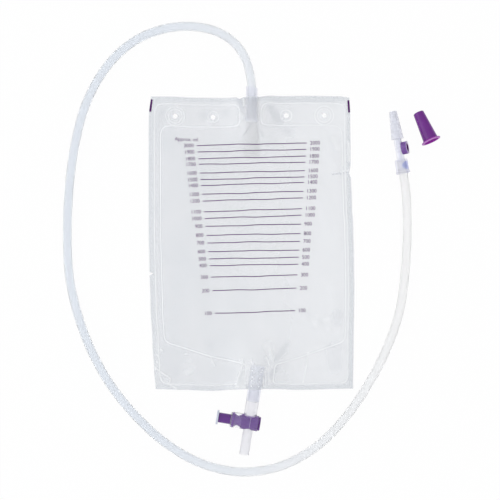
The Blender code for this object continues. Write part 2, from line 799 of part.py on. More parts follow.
def tube_stations():
    """The drain tube's route: out of the sleeve, down to the floor, round the bag, into the socket."""
    lie = TUBE_OD / 2 + FLOOR_CLEARANCE
    inner_end = BAG_LENGTH / 2 - INLET_DEPTH + TUBE_END_IN_SLEEVE
    sleeve_top = BAG_LENGTH / 2 + INLET_STUB
    socket = Vector((*CONNECTOR_PLACE, SOCKET_FLANGE_OD / 2 + FLOOR_CLEARANCE))
    heading = Vector((-math.sin(CONNECTOR_TURN), math.cos(CONNECTOR_TURN), 0.0))
    start = [
        Vector((INLET_X, inner_end, INLET_HEIGHT)),
        Vector((INLET_X, sleeve_top, INLET_HEIGHT)),
    ]
    end = [socket, socket + heading * TUBE_IN_SOCKET]
    middle = []
    for x, y in TUBE_ROUTE:
        from_start = falloff(math.dist((x, y), start[1][:2]), TUBE_RELAX)
        from_end = falloff(math.dist((x, y), socket[:2]), TUBE_RELAX)
        height = lie + (INLET_HEIGHT - lie) * from_start + (socket.z - lie) * from_end
        middle.append(Vector((x, y, height)))
    return start + middle + end


def add_drain_tube():
    """The tube as a plain length along its route."""
    curve = bpy.data.curves.new("drain_tube", "CURVE")
    curve.dimensions = "3D"
    curve.bevel_depth = TUBE_OD / 2
    curve.bevel_resolution = TUBE_SIDES_RESOLUTION
    curve.use_fill_caps = True
    points = smooth_route(tube_stations(), TUBE_SPACING)
    spline = curve.splines.new("POLY")
    spline.points.add(len(points) - 1)
    for slot, point in zip(spline.points, points):
        slot.co = (*point, 1.0)
    add_object("drain_tube", curve, CLEAR_PVC)


def barrel_profile():
    """The tap's barrel, solid, from its open right end down to its rounded closed end."""
    radius, left, right = BARREL_OD / 2, BARREL_LEFT, BARREL_RIGHT
    chamfer = BARREL_EDGE_RADIUS / 4
    round_centre = (radius - BARREL_EDGE_RADIUS, -left + BARREL_EDGE_RADIUS)
    return [
        (0.0, right),
        (radius - chamfer, right),
        (radius, right - chamfer),
        *arc(round_centre, BARREL_EDGE_RADIUS, 0, -90, 3),
        (0.0, -left),
    ]


def pipe_profile():
    """The tap's flow pipe, solid: spigot, neck and spout, on one axis."""
    neck_top = TAP_DROP - OUTLET_SLEEVE_STUB - FIT
    spigot_top = neck_top + SPIGOT_LENGTH
    neck = OUTLET_SLEEVE_OD / 2 - FILM / 2
    lead = SPIGOT_RADIUS * 0.1
    return [
        (0.0, spigot_top),
        (SPIGOT_RADIUS - lead, spigot_top),
        (SPIGOT_RADIUS, spigot_top - lead),
        (SPIGOT_RADIUS, neck_top),
        (neck, neck_top),
        (neck, 0.0),
        (SPOUT_OD / 2, -BARREL_OD / 4),
        (SPOUT_OD / 2, -SPOUT_END),
        (0.0, -SPOUT_END),
    ]


def add_tap_body(barrel_frame, pipe_frame):
    """Barrel, neck and spout in one moulding, bored both ways."""
    bore = BARREL_BORE / 2
    shaft_hole = SHAFT_RADIUS + FIT
    wall_inside = -BARREL_LEFT + BARREL_END_WALL
    body = turned("tap_body", barrel_profile(), CLEAR_ABS, barrel_frame)
    pipe = turned("tap_pipe", pipe_profile(), None, pipe_frame, collection=CUTTERS)
    barrel_bore = turned(
        "barrel_bore",
        [
            (0.0, BARREL_RIGHT + CUT_OVERRUN),
            (bore, BARREL_RIGHT + CUT_OVERRUN),
            (bore, wall_inside),
            (shaft_hole, wall_inside),
            (shaft_hole, -BARREL_LEFT - CUT_OVERRUN),
            (0.0, -BARREL_LEFT - CUT_OVERRUN),
        ],
        None,
        barrel_frame,
        collection=CUTTERS,
    )
    flow_top = TAP_DROP - OUTLET_SLEEVE_STUB + SPIGOT_LENGTH + CUT_OVERRUN
    flow_bore = turned(
        "flow_bore",
        [
            (0.0, flow_top),
            (FLOW_BORE / 2, flow_top),
            (FLOW_BORE / 2, -SPOUT_END - CUT_OVERRUN),
            (0.0, -SPOUT_END - CUT_OVERRUN),
        ],
        None,
        pipe_frame,
        collection=CUTTERS,
    )
    boolean(body, "UNION", pipe)
    boolean(body, "DIFFERENCE", barrel_bore)
    boolean(body, "DIFFERENCE", flow_bore)
    return body


def plunger_profile():
    """The plunger from its end plate to its shaft, with a waist that lies at the flow bore once pushed."""
    land = BARREL_BORE / 2 - FIT
    body = land - LIP_HEIGHT
    plate_face = BARREL_RIGHT + FIT
    body_left = -BARREL_LEFT + BARREL_END_WALL + FIT
    shaft_end = -BARREL_LEFT - TRAVEL - STOP_CLEARANCE + FIT
    waist = -TRAVEL
    half_waist = WAIST_LENGTH / 2
    lip_right = FLOW_BORE / 2 + LIP_LENGTH
    plate_round = END_PLATE_THICKNESS / 5
    points = [
        (0.0, plate_face + END_PLATE_THICKNESS),
        (END_PLATE_OD / 2 - plate_round, plate_face + END_PLATE_THICKNESS),
        (END_PLATE_OD / 2, plate_face + END_PLATE_THICKNESS - plate_round),
        (END_PLATE_OD / 2, plate_face),
        (land, plate_face),
        (land, lip_right + LIP_LENGTH),
        (body, lip_right + LIP_LENGTH / 2),
        (land, lip_right),
        (land, -lip_right),
        (body, -lip_right - LIP_LENGTH / 2),
        (land, -lip_right - LIP_LENGTH),
    ]
    for i in range(WAIST_STEPS + 1):
        share = i / WAIST_STEPS
        height = waist + half_waist * (1 - 2 * share)
        depth = (land - WAIST_RADIUS) * math.sin(math.pi * share) ** WAIST_FULLNESS
        points.append((land - depth, height))
    points += [
        (land, body_left),
        (SHAFT_RADIUS, body_left),
        (SHAFT_RADIUS, shaft_end),
        (STEM_RADIUS + FIT, shaft_end),
        (STEM_RADIUS + FIT, shaft_end + STEM_LENGTH + FIT),
        (0.0, shaft_end + STEM_LENGTH + FIT),
    ]
    return points


def button_profile():
    """The clear button on the plunger's shaft: a stem, a disc and a shallow dish in its face."""
    face = -BARREL_LEFT - TRAVEL - STOP_CLEARANCE
    back = face - BUTTON_THICKNESS
    edge = BUTTON_THICKNESS / 4
    return [
        (0.0, face + STEM_LENGTH),
        (STEM_RADIUS, face + STEM_LENGTH),
        (STEM_RADIUS, face),
        (BUTTON_OD / 2 - edge, face),
        (BUTTON_OD / 2, face - edge),
        (BUTTON_OD / 2, back + edge),
        (BUTTON_OD / 2 - edge, back),
        (BUTTON_OD / 2 - 3 * edge, back),
        (BUTTON_OD / 2 - 4 * edge, back + BUTTON_DISH),
        (0.0, back + BUTTON_DISH),
    ]


def add_outlet():
    """The outlet sleeve and the T tap, on an axis that leans a little to the left of the bag's."""
    tap_frame = add_frame(
        "tap_frame",
        (*OUTLET.place(-TAP_DROP, 0.0), OUTLET_HEIGHT),
        Euler((0.0, 0.0, OUTLET_TURN)),
    )
    barrel_frame = add_frame("barrel_frame", (0, 0, 0), Euler((0.0, math.pi / 2, 0.0)), tap_frame)
    pipe_frame = add_frame("pipe_frame", (0, 0, 0), Euler((-math.pi / 2, 0.0, 0.0)), tap_frame)
    sleeve_frame = add_frame(
        "outlet_sleeve_frame",
        (0.0, TAP_DROP - OUTLET_SLEEVE_STUB, 0.0),
        Euler((-math.pi / 2, 0.0, 0.0)),
        tap_frame,
    )
    length = OUTLET_SLEEVE_STUB + OUTLET_SLEEVE_DEPTH
    add_sleeve("outlet_sleeve", OUTLET_SLEEVE_OD / 2, SPIGOT_RADIUS + FIT, length, sleeve_frame)
    add_tap_body(barrel_frame, pipe_frame)
    turned("tap_plunger", plunger_profile(), PURPLE_PLASTIC, barrel_frame)
    turned("plunger_button", button_profile(), WHITE_PLASTIC, barrel_frame)


def cone_profile():
    """The connector's outside from its tip down the barbed steps to the neck."""
    tip = CONE_START + CONE_LENGTH
    edge = CONE_TIP_RADIUS / 12
    points = [(0.0, tip), (CONE_TIP_RADIUS - edge, tip)]
    pitch = CONE_LENGTH / (CONE_STEPS - 1 + CONE_PLAIN)
    plain = pitch * CONE_PLAIN
    growth = (CONE_BASE_RADIUS - CONE_TIP_RADIUS) / CONE_STEPS
    radius, height = CONE_TIP_RADIUS, tip - edge
    for step in range(CONE_STEPS):
        points.append((radius, height))
        length = plain if step == 0 else pitch
        height = tip - plain - pitch * step
        radius += growth + (CONE_BARB if step < CONE_STEPS - 1 else 0.0)
        if step == CONE_STEPS - 1:
            height = CONE_START
            radius = CONE_BASE_RADIUS
        points.append((radius, height + length * BARB_LEAD))
        radius -= CONE_BARB
    points.append((CONE_BASE_RADIUS, CONE_START))
    points += [
        (NECK_RADIUS, CONE_START),
        (NECK_RADIUS, TUBE_IN_SOCKET + FIT),
        (0.0, TUBE_IN_SOCKET + FIT),
    ]
    return points


def add_connector():
    """The tube socket, the stepped connector with its sampling port, and the port's plug."""
    height = SOCKET_FLANGE_OD / 2 + FLOOR_CLEARANCE
    frame = add_frame(
        "connector_frame",
        (*CONNECTOR_PLACE, height),
        Euler((-math.pi / 2, 0.0, CONNECTOR_TURN)),
    )
    port_frame = add_frame(
        "port_frame",
        (0.0, 0.0, PORT_PLACE),
        Euler((0.0, math.pi / 2, -PORT_TILT)),
        frame,
    )
    cup_bore = CUP_OD / 2 - CUP_WALL
    cup_floor = CUP_START + CUP_FLOOR
    body = turned("connector_body", cone_profile(), CLEAR_ABS, frame)
    boss = turned(
        "port_boss",
        [
            (0.0, CUP_END),
            (CUP_OD / 2, CUP_END),
            (CUP_OD / 2, CUP_START),
            (PORT_BOSS_RADIUS, CUP_START),
            (PORT_BOSS_RADIUS, -PORT_BOSS_BACK),
            (0.0, -PORT_BOSS_BACK),
        ],
        None,
        port_frame,
        collection=CUTTERS,
    )
    cup = turned(
        "port_bore",
        [
            (0.0, CUP_END + CUT_OVERRUN),
            (cup_bore, CUP_END + CUT_OVERRUN),
            (cup_bore, cup_floor),
            (SAMPLE_BORE / 2, cup_floor),
            (SAMPLE_BORE / 2, 0.0),
            (0.0, 0.0),
        ],
        None,
        port_frame,
        collection=CUTTERS,
    )
    tip = CONE_START + CONE_LENGTH
    main_bore = turned(
        "connector_bore",
        [
            (0.0, tip + CUT_OVERRUN),
            (CONNECTOR_BORE / 2, tip + CUT_OVERRUN),
            (CONNECTOR_BORE / 2, TUBE_IN_SOCKET - CUT_OVERRUN),
            (0.0, TUBE_IN_SOCKET - CUT_OVERRUN),
        ],
        None,
        frame,
        collection=CUTTERS,
    )
    boolean(body, "UNION", boss)
    boolean(body, "DIFFERENCE", cup)
    boolean(body, "DIFFERENCE", main_bore)
    face = CUP_END - PLUG_INSET
    turned(
        "port_plug",
        [
            (0.0, face - PLUG_RECESS),
            (PLUG_RECESS_RADIUS, face - PLUG_RECESS),
            (PLUG_RECESS_RADIUS, face),
            (cup_bore - FIT, face),
            (cup_bore - FIT, cup_floor + FIT),
            (0.0, cup_floor + FIT),
        ],
        PURPLE_RUBBER,
        port_frame,
    )
    bore = TUBE_OD / 2 + FIT
    neck_hole = NECK_RADIUS + FIT
    shoulder = TUBE_IN_SOCKET + FIT
    edge = SOCKET_OD / 25
    turned(
        "tube_socket",
        [
            (neck_hole, SOCKET_LENGTH),
            (SOCKET_OD / 2 - edge, SOCKET_LENGTH),
            (SOCKET_OD / 2, SOCKET_LENGTH - edge),
            (SOCKET_OD / 2, SOCKET_FLANGE),
            (SOCKET_FLANGE_OD / 2, SOCKET_FLANGE - edge / 2),
            (SOCKET_FLANGE_OD / 2, 0.0),
            (bore, 0.0),
            (bore, shoulder),
            (neck_hole, shoulder),
        ],
        CLEAR_ABS,
        frame,
        close=True,
    )


def add_cap():
    """The connector's cap, lying on the rim of its flange and the edge of its closed end."""
    span = CAP_LENGTH - CAP_FLANGE
    tilt = math.asin((CAP_FLANGE_RADIUS - CAP_TIP_RADIUS) / span)
    height = CAP_FLANGE_RADIUS * math.cos(tilt) + CAP_FLANGE * math.sin(tilt) + FLOOR_CLEARANCE
    frame = add_frame(
        "cap_frame",
        (*CAP_MOUTH_PLACE, height),
        Euler((-math.pi / 2 - tilt, 0.0, CAP_HEADING)),
    )
    profile = [
        (0.0, CAP_LENGTH),
        *arc((CAP_TIP_RADIUS - CAP_TIP_ROUND, CAP_LENGTH - CAP_TIP_ROUND), CAP_TIP_ROUND, 90, 0, 3),
        (CAP_BASE_RADIUS, CAP_FLANGE + CAP_FILLET[1]),
        (CAP_BASE_RADIUS + CAP_FILLET[0], CAP_FLANGE),
        (CAP_FLANGE_RADIUS - CAP_RIM, CAP_FLANGE),
        (CAP_FLANGE_RADIUS, CAP_FLANGE - CAP_RIM),
        (CAP_FLANGE_RADIUS, CAP_RIM),
        (CAP_FLANGE_RADIUS - CAP_RIM, 0.0),
        (CAP_BASE_RADIUS - CAP_WALL + CAP_RIM, 0.0),
        (CAP_BASE_RADIUS - CAP_WALL, CAP_RIM),
        (CAP_TIP_RADIUS - CAP_WALL, CAP_LENGTH - CAP_END_WALL),
        (0.0, CAP_LENGTH - CAP_END_WALL),
    ]
    turned("connector_cap", profile, PURPLE_PLASTIC, frame)


def main():
    """Builds the bag, its ports, the drain line, the tap and the cap."""
    add_film("front_film", True, GRID_STEP, front_height, 1.0)
    add_film("back_film", False, BACK_GRID_STEP, back_height, -1.0)
    add_inlet()
    add_drain_tube()
    add_outlet()
    add_connector()
    add_cap()


main()
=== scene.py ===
"""Dresses a two-litre urine drainage bag, lying on its back on a white table.

The film bag, its print, the ports, the drain tube, the T tap, the connector and the cap are classes
that hold their own sizes. Everything is in metres, +Z up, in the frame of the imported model: the
origin is the middle of the bag on the underside of its back film, and +Y runs from tap to inlet.
"""

from __future__ import annotations

import json
import logging
import math
from dataclasses import dataclass
from enum import Enum
from typing import Callable, Sequence

import bpy
import numpy as np
from mathutils import Euler, Matrix, Vector
from mathutils.geometry import delaunay_2d_cdt

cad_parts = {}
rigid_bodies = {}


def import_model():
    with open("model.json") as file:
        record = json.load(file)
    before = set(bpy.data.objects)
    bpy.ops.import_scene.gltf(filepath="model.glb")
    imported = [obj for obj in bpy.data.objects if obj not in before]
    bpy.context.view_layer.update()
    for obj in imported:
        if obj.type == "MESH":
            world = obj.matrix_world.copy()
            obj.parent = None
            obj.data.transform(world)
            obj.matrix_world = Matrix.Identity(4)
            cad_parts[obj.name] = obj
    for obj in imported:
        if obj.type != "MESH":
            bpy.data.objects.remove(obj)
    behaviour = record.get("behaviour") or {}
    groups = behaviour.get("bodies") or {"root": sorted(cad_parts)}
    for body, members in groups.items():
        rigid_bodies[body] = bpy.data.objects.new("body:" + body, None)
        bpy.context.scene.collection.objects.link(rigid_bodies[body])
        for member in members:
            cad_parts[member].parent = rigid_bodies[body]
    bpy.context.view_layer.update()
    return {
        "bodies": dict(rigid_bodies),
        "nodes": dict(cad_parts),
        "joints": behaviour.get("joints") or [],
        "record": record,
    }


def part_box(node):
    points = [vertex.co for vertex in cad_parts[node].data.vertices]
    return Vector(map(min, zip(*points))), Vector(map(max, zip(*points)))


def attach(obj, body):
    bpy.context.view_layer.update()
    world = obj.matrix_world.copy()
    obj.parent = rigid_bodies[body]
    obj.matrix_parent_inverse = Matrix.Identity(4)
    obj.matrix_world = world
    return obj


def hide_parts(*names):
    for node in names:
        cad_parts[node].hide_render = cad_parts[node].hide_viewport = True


LOG = logging.getLogger("drainage_bag")

Array = np.ndarray
Pair = tuple[float, float]
Piece = bpy.types.Object
Material = bpy.types.Material
Holder = bpy.types.Material | bpy.types.World
Socket = bpy.types.NodeSocket
Finishes = dict[str, bpy.types.Material]

MM = 0.001
SKIN = 0.1 * MM  # small steps, clearances and tolerances are shares of it
UP = Vector((0, 0, 1))
BAG = "bag"
PLUNGER = "plunger"
SHARP = "sharp"
ROUND = "round"


class Slot(str, Enum):
    """The record's material slots."""

    FILM = "film"
    CLEAR_PVC = "clear_pvc"
    CLEAR_PLASTIC = "clear_plastic"
    BUTTON = "button_plastic"
    PURPLE = "purple_plastic"
    RUBBER = "purple_rubber"


class Cut(str, Enum):
    """What a Boolean does."""

    JOIN = "UNION"
    REMOVE = "DIFFERENCE"


# Colours and nodes


def linear(code: str) -> tuple[float, float, float, float]:
    """Turns an sRGB hex colour into the linear colour that a shader takes.

    Args:
        code: such as "#7A3A8E".

    Returns:
        Red, green, blue and an alpha of 1.
    """
    channels = [int(code[i : i + 2], 16) / 255 for i in (1, 3, 5)]
    levels = [c / 12.92 if c <= 0.04045 else ((c + 0.055) / 1.055) ** 2.4 for c in channels]
    return (levels[0], levels[1], levels[2], 1.0)


def add_node(
    holder: Holder,
    kind: str,
    settings: dict[str, object] | None = None,
    inputs: dict[str | int, object] | None = None,
) -> bpy.types.Node:
    """Adds one node with its settings, and sets or links its inputs.

    Args:
        holder: the material or world that gets the node.
        kind: the node's type, such as "ShaderNodeTexNoise".
        settings: the node's own attributes.
        inputs: by name or number, a value or the output socket that is linked to it.

    Returns:
        The node.
    """
    tree = holder.node_tree
    node = tree.nodes.new(kind)
    for key, value in (settings or {}).items():
        setattr(node, key, value)
    for key, value in (inputs or {}).items():
        if isinstance(value, Socket):
            tree.links.new(value, node.inputs[key])
        else:
            node.inputs[key].default_value = value
    return node


def new_material(name: str) -> Material:
    """Makes a material whose nodes are still to come.

    Args:
        name: of the material.

    Returns:
        The material.
    """
    material = bpy.data.materials.new(name)
    material.use_nodes = True
    material.node_tree.nodes.clear()
    return material


def show(material: Material, shader: Socket) -> Material:
    """Gives a material its surface.

    Args:
        material: the material.
        shader: what the surface is.

    Returns:
        The same material.
    """
    add_node(material, "ShaderNodeOutputMaterial", inputs={"Surface": shader})
    return material


def principled(material: Material, inputs: dict[str, object]) -> Material:
    """Gives a material one Principled surface.

    Args:
        material: the material.
        inputs: the Principled node's inputs.

    Returns:
        The same material.
    """
    return show(material, add_node(material, "ShaderNodeBsdfPrincipled", inputs=inputs).outputs["BSDF"])


def mixed(material: Material, share: Socket, colour: object, other: str) -> Socket:
    """Mixes another tint into a colour.

    Args:
        material: the material.
        share: how much of the other tint there is.
        colour: the first tint, a value or a socket.
        other: the other tint, in hex.

    Returns:
        The mixed colour.
    """
    inputs = {"Factor": share, 6: colour, 7: linear(other)}
    return add_node(material, "ShaderNodeMix", {"data_type": "RGBA"}, inputs).outputs[2]


def mottled(material: Material, size: float, detail: float, stops: dict[float, str]) -> Socket:
    """A tint that wanders between two colours.

    Args:
        material: the material.
        size: of its patches.
        detail: how fine they break up.
        stops: the two hex colours, by where in the noise they are full.

    Returns:
        The colour.
    """
    ramp = add_node(material, "ShaderNodeValToRGB", inputs={"Fac": noise(material, size, detail)})
    for element, (at, code) in zip(ramp.color_ramp.elements, stops.items()):
        element.position = at
        element.color = linear(code)
    return ramp.outputs["Color"]


def noise(material: Material, size: float, detail: float) -> Socket:
    """Noise in the object's own coordinates, with patches of about one size.

    Args:
        material: the material.
        size: of the patches.
        detail: how fine they break up.

    Returns:
        The noise, from 0 to 1.
    """
    place_at = add_node(material, "ShaderNodeTexCoord").outputs["Object"]
    inputs = {"Vector": place_at, "Scale": 1 / size, "Detail": detail}
    return add_node(material, "ShaderNodeTexNoise", inputs=inputs).outputs["Fac"]


def bumped(material: Material, size: float, depth: float) -> Socket:
    """A normal that fine noise of one size and depth has roughened."""
    inputs = {"Height": noise(material, size, 1.0), "Distance": depth}
    return add_node(material, "ShaderNodeBump", inputs=inputs).outputs["Normal"]


def along_x(holder: Holder, space: str) -> Socket:
    """The X of each place, in one of the Texture Coordinate node's spaces."""
    place_at = add_node(holder, "ShaderNodeTexCoord").outputs[space]
    return add_node(holder, "ShaderNodeSeparateXYZ", inputs={0: place_at}).outputs["X"]


def mark(material: Material, name: str) -> Socket:
    """What the mesh's own attribute says."""
    return add_node(material, "ShaderNodeAttribute", {"attribute_name": name}).outputs["Fac"]


def remap(
    holder: Holder, value: Socket, span: Pair, to: tuple[object, object] = (0.0, 1.0), clamp: bool = True
) -> Socket:
    """Maps a value from one span to another.

    Args:
        holder: the material or world.
        value: what is mapped.
        span: where it starts and ends.
        to: what it turns into at those ends, values or sockets.
        clamp: whether it stays level past them.

    Returns:
        The mapped value.
    """
    inputs = {"Value": value, "From Min": span[0], "From Max": span[1], "To Min": to[0], "To Max": to[1]}
    return add_node(holder, "ShaderNodeMapRange", {"clamp": clamp}, inputs).outputs["Result"]


def seen(holder: Holder) -> Socket:
    """1 for the rays that the eye, a gloss or a clear piece sees by, 0 for those that only light.

    Args:
        holder: the material or world.

    Returns:
        That value.
    """
    path = add_node(holder, "ShaderNodeLightPath").outputs
    shown = path["Is Camera Ray"]
    for ray in ("Is Glossy Ray", "Is Transmission Ray"):
        inputs = {0: shown, 1: path[ray]}
        shown = add_node(holder, "ShaderNodeMath", {"operation": "MAXIMUM"}, inputs).outputs["Value"]
    return shown


# Finishes


@dataclass(frozen=True)
class EmbossedFilm:
    """Calendered soft PVC film. Its fine emboss breaks the light up, so it looks like thin frost."""

    name: str = "embossed_pvc_film"
    body: str = "#DCE0E5"
    cloud: str = "#E3E5E9"
    drift: str = "#F0F2F5"  # painted light: the film is drawn lighter at the +X side of the bag
    drift_span: Pair = (-0.1, 0.1)
    # of the welds, and of the painted highlights on folds and facets
    weld: str = "#F7F9FB"
    margin: str = "#DBDFE4"  # outside the welds, where the two films lie pressed together
    fold: str = "#CDD1D9"  # painted shade on the far side of a fold
    cloud_size: float = 46 * MM
    emboss_pitch: float = 0.9 * MM  # the real emboss is near 0.3 mm, too fine to show
    emboss_depth: float = 0.004 * MM
    roughness: float = 0.32
    ior: float = 1.53
    film_alpha: float = 0.28  # of the upper face
    under_alpha: float = 0.08  # of the lower face
    turn_span: Pair = (-0.3, 0.3)  # how far up a face looks, from the lower face's alpha to the upper's
    weld_alpha: float = 0.4
    white_from: float = 0.4  # how much of a weld turns the film quite white

    def material(self) -> Material:
        """Makes the film's material.

        Returns:
            The material.
        """
        material = new_material(self.name)
        margin, fold, weld = (mark(material, name) for name in ("margin", "fold", "weld"))
        colour = mottled(material, self.cloud_size, 3.0, {0.35: self.body, 0.65: self.cloud})
        # painted light: the film turns lighter towards the +X side of the bag
        side = remap(material, along_x(material, "Object"), self.drift_span)
        colour = mixed(material, side, colour, self.drift)
        colour = mixed(material, margin, colour, self.margin)
        # painted shade on the far side of the folds and on darker facets
        colour = mixed(material, fold, colour, self.fold)
        # the welds, and the painted highlights of folds and facets
        colour = mixed(material, remap(material, weld, (0.0, self.white_from)), colour, self.weld)
        normal = add_node(material, "ShaderNodeNewGeometry").outputs["True Normal"]
        upward = add_node(material, "ShaderNodeSeparateXYZ", inputs={0: normal}).outputs["Z"]
        plain = remap(material, upward, self.turn_span, (self.under_alpha, self.film_alpha))
        inputs = {
            "Base Color": colour,
            "Roughness": self.roughness,
            "IOR": self.ior,
            "Alpha": remap(material, weld, (0.0, 1.0), (plain, self.weld_alpha), clamp=False),
            "Normal": bumped(material, self.emboss_pitch, self.emboss_depth),
        }
        return principled(material, inputs)


@dataclass(frozen=True)
class ClearSolid:
    """A clear plastic moulding or extrusion. A share of haze in it keeps it milky, not like glass."""

    name: str
    tint: str
    ior: float
    clarity: float  # the share of the light that isn't scattered inside
    roughness: float = 0.29
    drift: str = ""  # painted light: the lighter tint at the +X side of the bag, where it changes along the piece
    drift_span: Pair = (-0.1, 0.16)
    bond: str = ""  # the tint where a solvent has bonded it to the tube, marked on the mesh
    rim: str = ""  # the tint at its outline, where the eye looks along the wall: partly the wall's own tint, partly painted shade
    rim_span: Pair = (0.3, 0.8)
    flow_size: float = 9 * MM  # the waviness that the die or the mould leaves in the surface
    flow_depth: float = 0.02 * MM

    def material(self) -> Material:
        """Makes the clear material.

        Returns:
            The material.
        """
        material = new_material(self.name)
        colour: object = linear(self.tint)
        # painted light: lighter towards the +X side of the bag
        if self.drift:
            side = remap(material, along_x(material, "Object"), self.drift_span)
            colour = mixed(material, side, colour, self.drift)
        if self.bond:
            colour = mixed(material, mark(material, "bond"), colour, self.bond)
        # partly painted shade: darker towards the outline
        if self.rim:
            facing = add_node(material, "ShaderNodeLayerWeight", inputs={"Blend": 0.5}).outputs["Facing"]
            colour = mixed(material, remap(material, facing, self.rim_span), colour, self.rim)
        inputs = {
            "Base Color": colour,
            "Roughness": self.roughness,
            "IOR": self.ior,
            "Transmission Weight": self.clarity,
            "Normal": bumped(material, self.flow_size, self.flow_depth),
        }
        return principled(material, inputs)


@dataclass(frozen=True)
class ColouredMoulding:
    """An opaque moulding. Fine spark-eroded grain softens its gloss."""

    name: str
    body: str
    deep: str
    roughness: float
    ior: float = 1.49
    mottle_size: float = 14 * MM
    grain: float = 0.5 * MM
    grain_depth: float = 0.008 * MM

    def material(self) -> Material:
        """Makes the moulded material.

        Returns:
            The material.
        """
        material = new_material(self.name)
        inputs = {
            "Base Color": mottled(material, self.mottle_size, 2.0, {0.3: self.deep, 0.7: self.body}),
            "Roughness": self.roughness,
            "IOR": self.ior,
            "Normal": bumped(material, self.grain, self.grain_depth),
        }
        return principled(material, inputs)


@dataclass(frozen=True)
class ScreenInk:
    """Solvent ink, screened on the film: thin, slightly uneven and a little glossy."""

    name: str = "purple_screen_ink"
    full: str = "#480C5A"
    worn: str = "#60226C"
    patch_size: float = 1.6 * MM

    def material(self) -> Material:
        """Makes the ink.

        Returns:
            The ink's material.
        """
        material = new_material(self.name)
        colour = mottled(material, self.patch_size, 2.0, {0.4: self.full, 0.75: self.worn})
        return principled(material, {"Base Color": colour, "Roughness": 0.45, "IOR": 1.33})


@dataclass(frozen=True)
class WhiteTable:
    """A white sheet that shows as white to the eye, in gloss and through clear plastic."""

    name: str = "white_paper_sweep"
    paper: str = "#F6F6F6"
    shown_share: float = 0.97  # of pure white, in what the eye sees of it

    def material(self) -> Material:
        """Makes the table's material.

        Returns:
            The material.
        """
        material = new_material(self.name)
        paper = add_node(material, "ShaderNodeBsdfDiffuse", inputs={"Color": linear(self.paper)})
        white = add_node(material, "ShaderNodeEmission", inputs={"Strength": 1.0})
        inputs = {0: seen(material), 1: self.shown_share}
        share = add_node(material, "ShaderNodeMath", {"operation": "MULTIPLY"}, inputs)
        inputs = {0: share.outputs["Value"], 1: paper.outputs["BSDF"], 2: white.outputs["Emission"]}
        return show(material, add_node(material, "ShaderNodeMixShader", inputs=inputs).outputs["Shader"])


def make_finishes() -> Finishes:
    """Makes the materials that the pieces share, each once.

    Returns:
        The materials, by their use.
    """
    recipes = {
        "film": EmbossedFilm(),
        "valve": EmbossedFilm("glossy_pvc_film", film_alpha=0.02, under_alpha=0.02, weld_alpha=0.02),
        # the tubing is painted lighter towards the +X side
        "tubing": ClearSolid("extruded_clear_pvc", "#F6F9FD", 1.28, 0.9, drift="#FFFFFF"),
        "sleeve": ClearSolid("extruded_lilac_pvc", "#FCFCFF", 1.1, 1.0, rim="#E6E8F6"),
        "collar": ClearSolid("moulded_lilac_pvc", "#FBFBFF", 1.14, 0.85, bond="#C4CBF5", rim="#DCDEF4"),
        "cone": ClearSolid("stepped_lilac_pvc", "#F8F9FF", 1.28, 0.5),
        "outlet_sleeve": ClearSolid("extruded_pale_pvc", "#FAFBFF", 1.1, 0.97, rim="#E4E6F4"),
        "pipe": ClearSolid("moulded_hazy_styrene", "#F9F9FB", 1.12, 0.88, rim="#DEDEE4"),
        "styrene": ClearSolid("moulded_clear_styrene", "#FCFCFE", 1.57, 1.0, 0.06),
        "button": ColouredMoulding("milky_polypropylene", "#D6DAE8", "#CCD0E0", 0.3),
        "plunger": ColouredMoulding("purple_polyethylene", "#652F8A", "#582878", 0.26),
        # painted light: the lands are drawn lighter, as seen through the clear barrel
        "lands_painted_light": ColouredMoulding("painted_light_purple_polyethylene", "#9062BC", "#8456B0", 0.26),
        "cap": ColouredMoulding("purple_polypropylene", "#742A8E", "#66227E", 0.15, 1.4),
        # painted light: the inside is drawn bright, as light shines through the translucent wall
        "cap_inside_painted_light": ColouredMoulding("lit_purple_polypropylene", "#A83CB4", "#9A34A6", 0.5, 1.12),
        # painted light: the rim is drawn lighter, as light comes through its thin edge
        "cap_rim_painted_light": ColouredMoulding("rim_painted_light_polypropylene", "#C084C8", "#B676C0", 0.4, 1.15),
        "rubber": ColouredMoulding("purple_isoprene_rubber", "#9658C6", "#864AB4", 0.5),
        # painted shade: the recess is drawn dark
        "rubber_face_painted_shade": ColouredMoulding("painted_shade_recess_rubber", "#5E2A6E", "#502260", 0.6, 1.2),
        # painted highlight: the lip is drawn pale
        "rubber_lip_painted_highlight": ColouredMoulding("painted_highlight_rubber_lip", "#CDBBDF", "#C2AED6", 0.5),
        # painted highlight: a pale line along the seam groove
        "seam": ColouredMoulding("seam_painted_highlight_polyethylene", "#B8A2D2", "#AC94C8", 0.4),
        "ink": ScreenInk(),
    }
    return {key: recipe.material() for key, recipe in recipes.items()}


# Modelling by operators


def deselect() -> None:
    """Leaves object mode with nothing selected."""
    if bpy.context.mode != "OBJECT":
        bpy.ops.object.mode_set(mode="OBJECT")
    bpy.ops.object.select_all(action="DESELECT")


def pick(piece: Piece) -> None:
    """Makes a piece the only one selected, and the active one.

    Args:
        piece: the piece.
    """
    deselect()
    piece.select_set(True)
    bpy.context.view_layer.objects.active = piece


def apply_modifier(piece: Piece, kind: str, **settings: object) -> None:
    """Adds a modifier to a piece and applies it.

    Args:
        piece: the piece.
        kind: the modifier's type, such as "SOLIDIFY".
        settings: the modifier's own attributes.
    """
    pick(piece)
    modifier = piece.modifiers.new(kind.lower(), kind)
    for key, value in settings.items():
        setattr(modifier, key, value)
    bpy.ops.object.modifier_apply(modifier=modifier.name)


def smooth(piece: Piece, degrees: float = 32.0) -> None:
    """Shades a piece smooth, with its sharper edges kept.

    Args:
        piece: the piece.
        degrees: the angle past which an edge stays sharp.
    """
    pick(piece)
    bpy.ops.object.shade_smooth_by_angle(angle=math.radians(degrees))


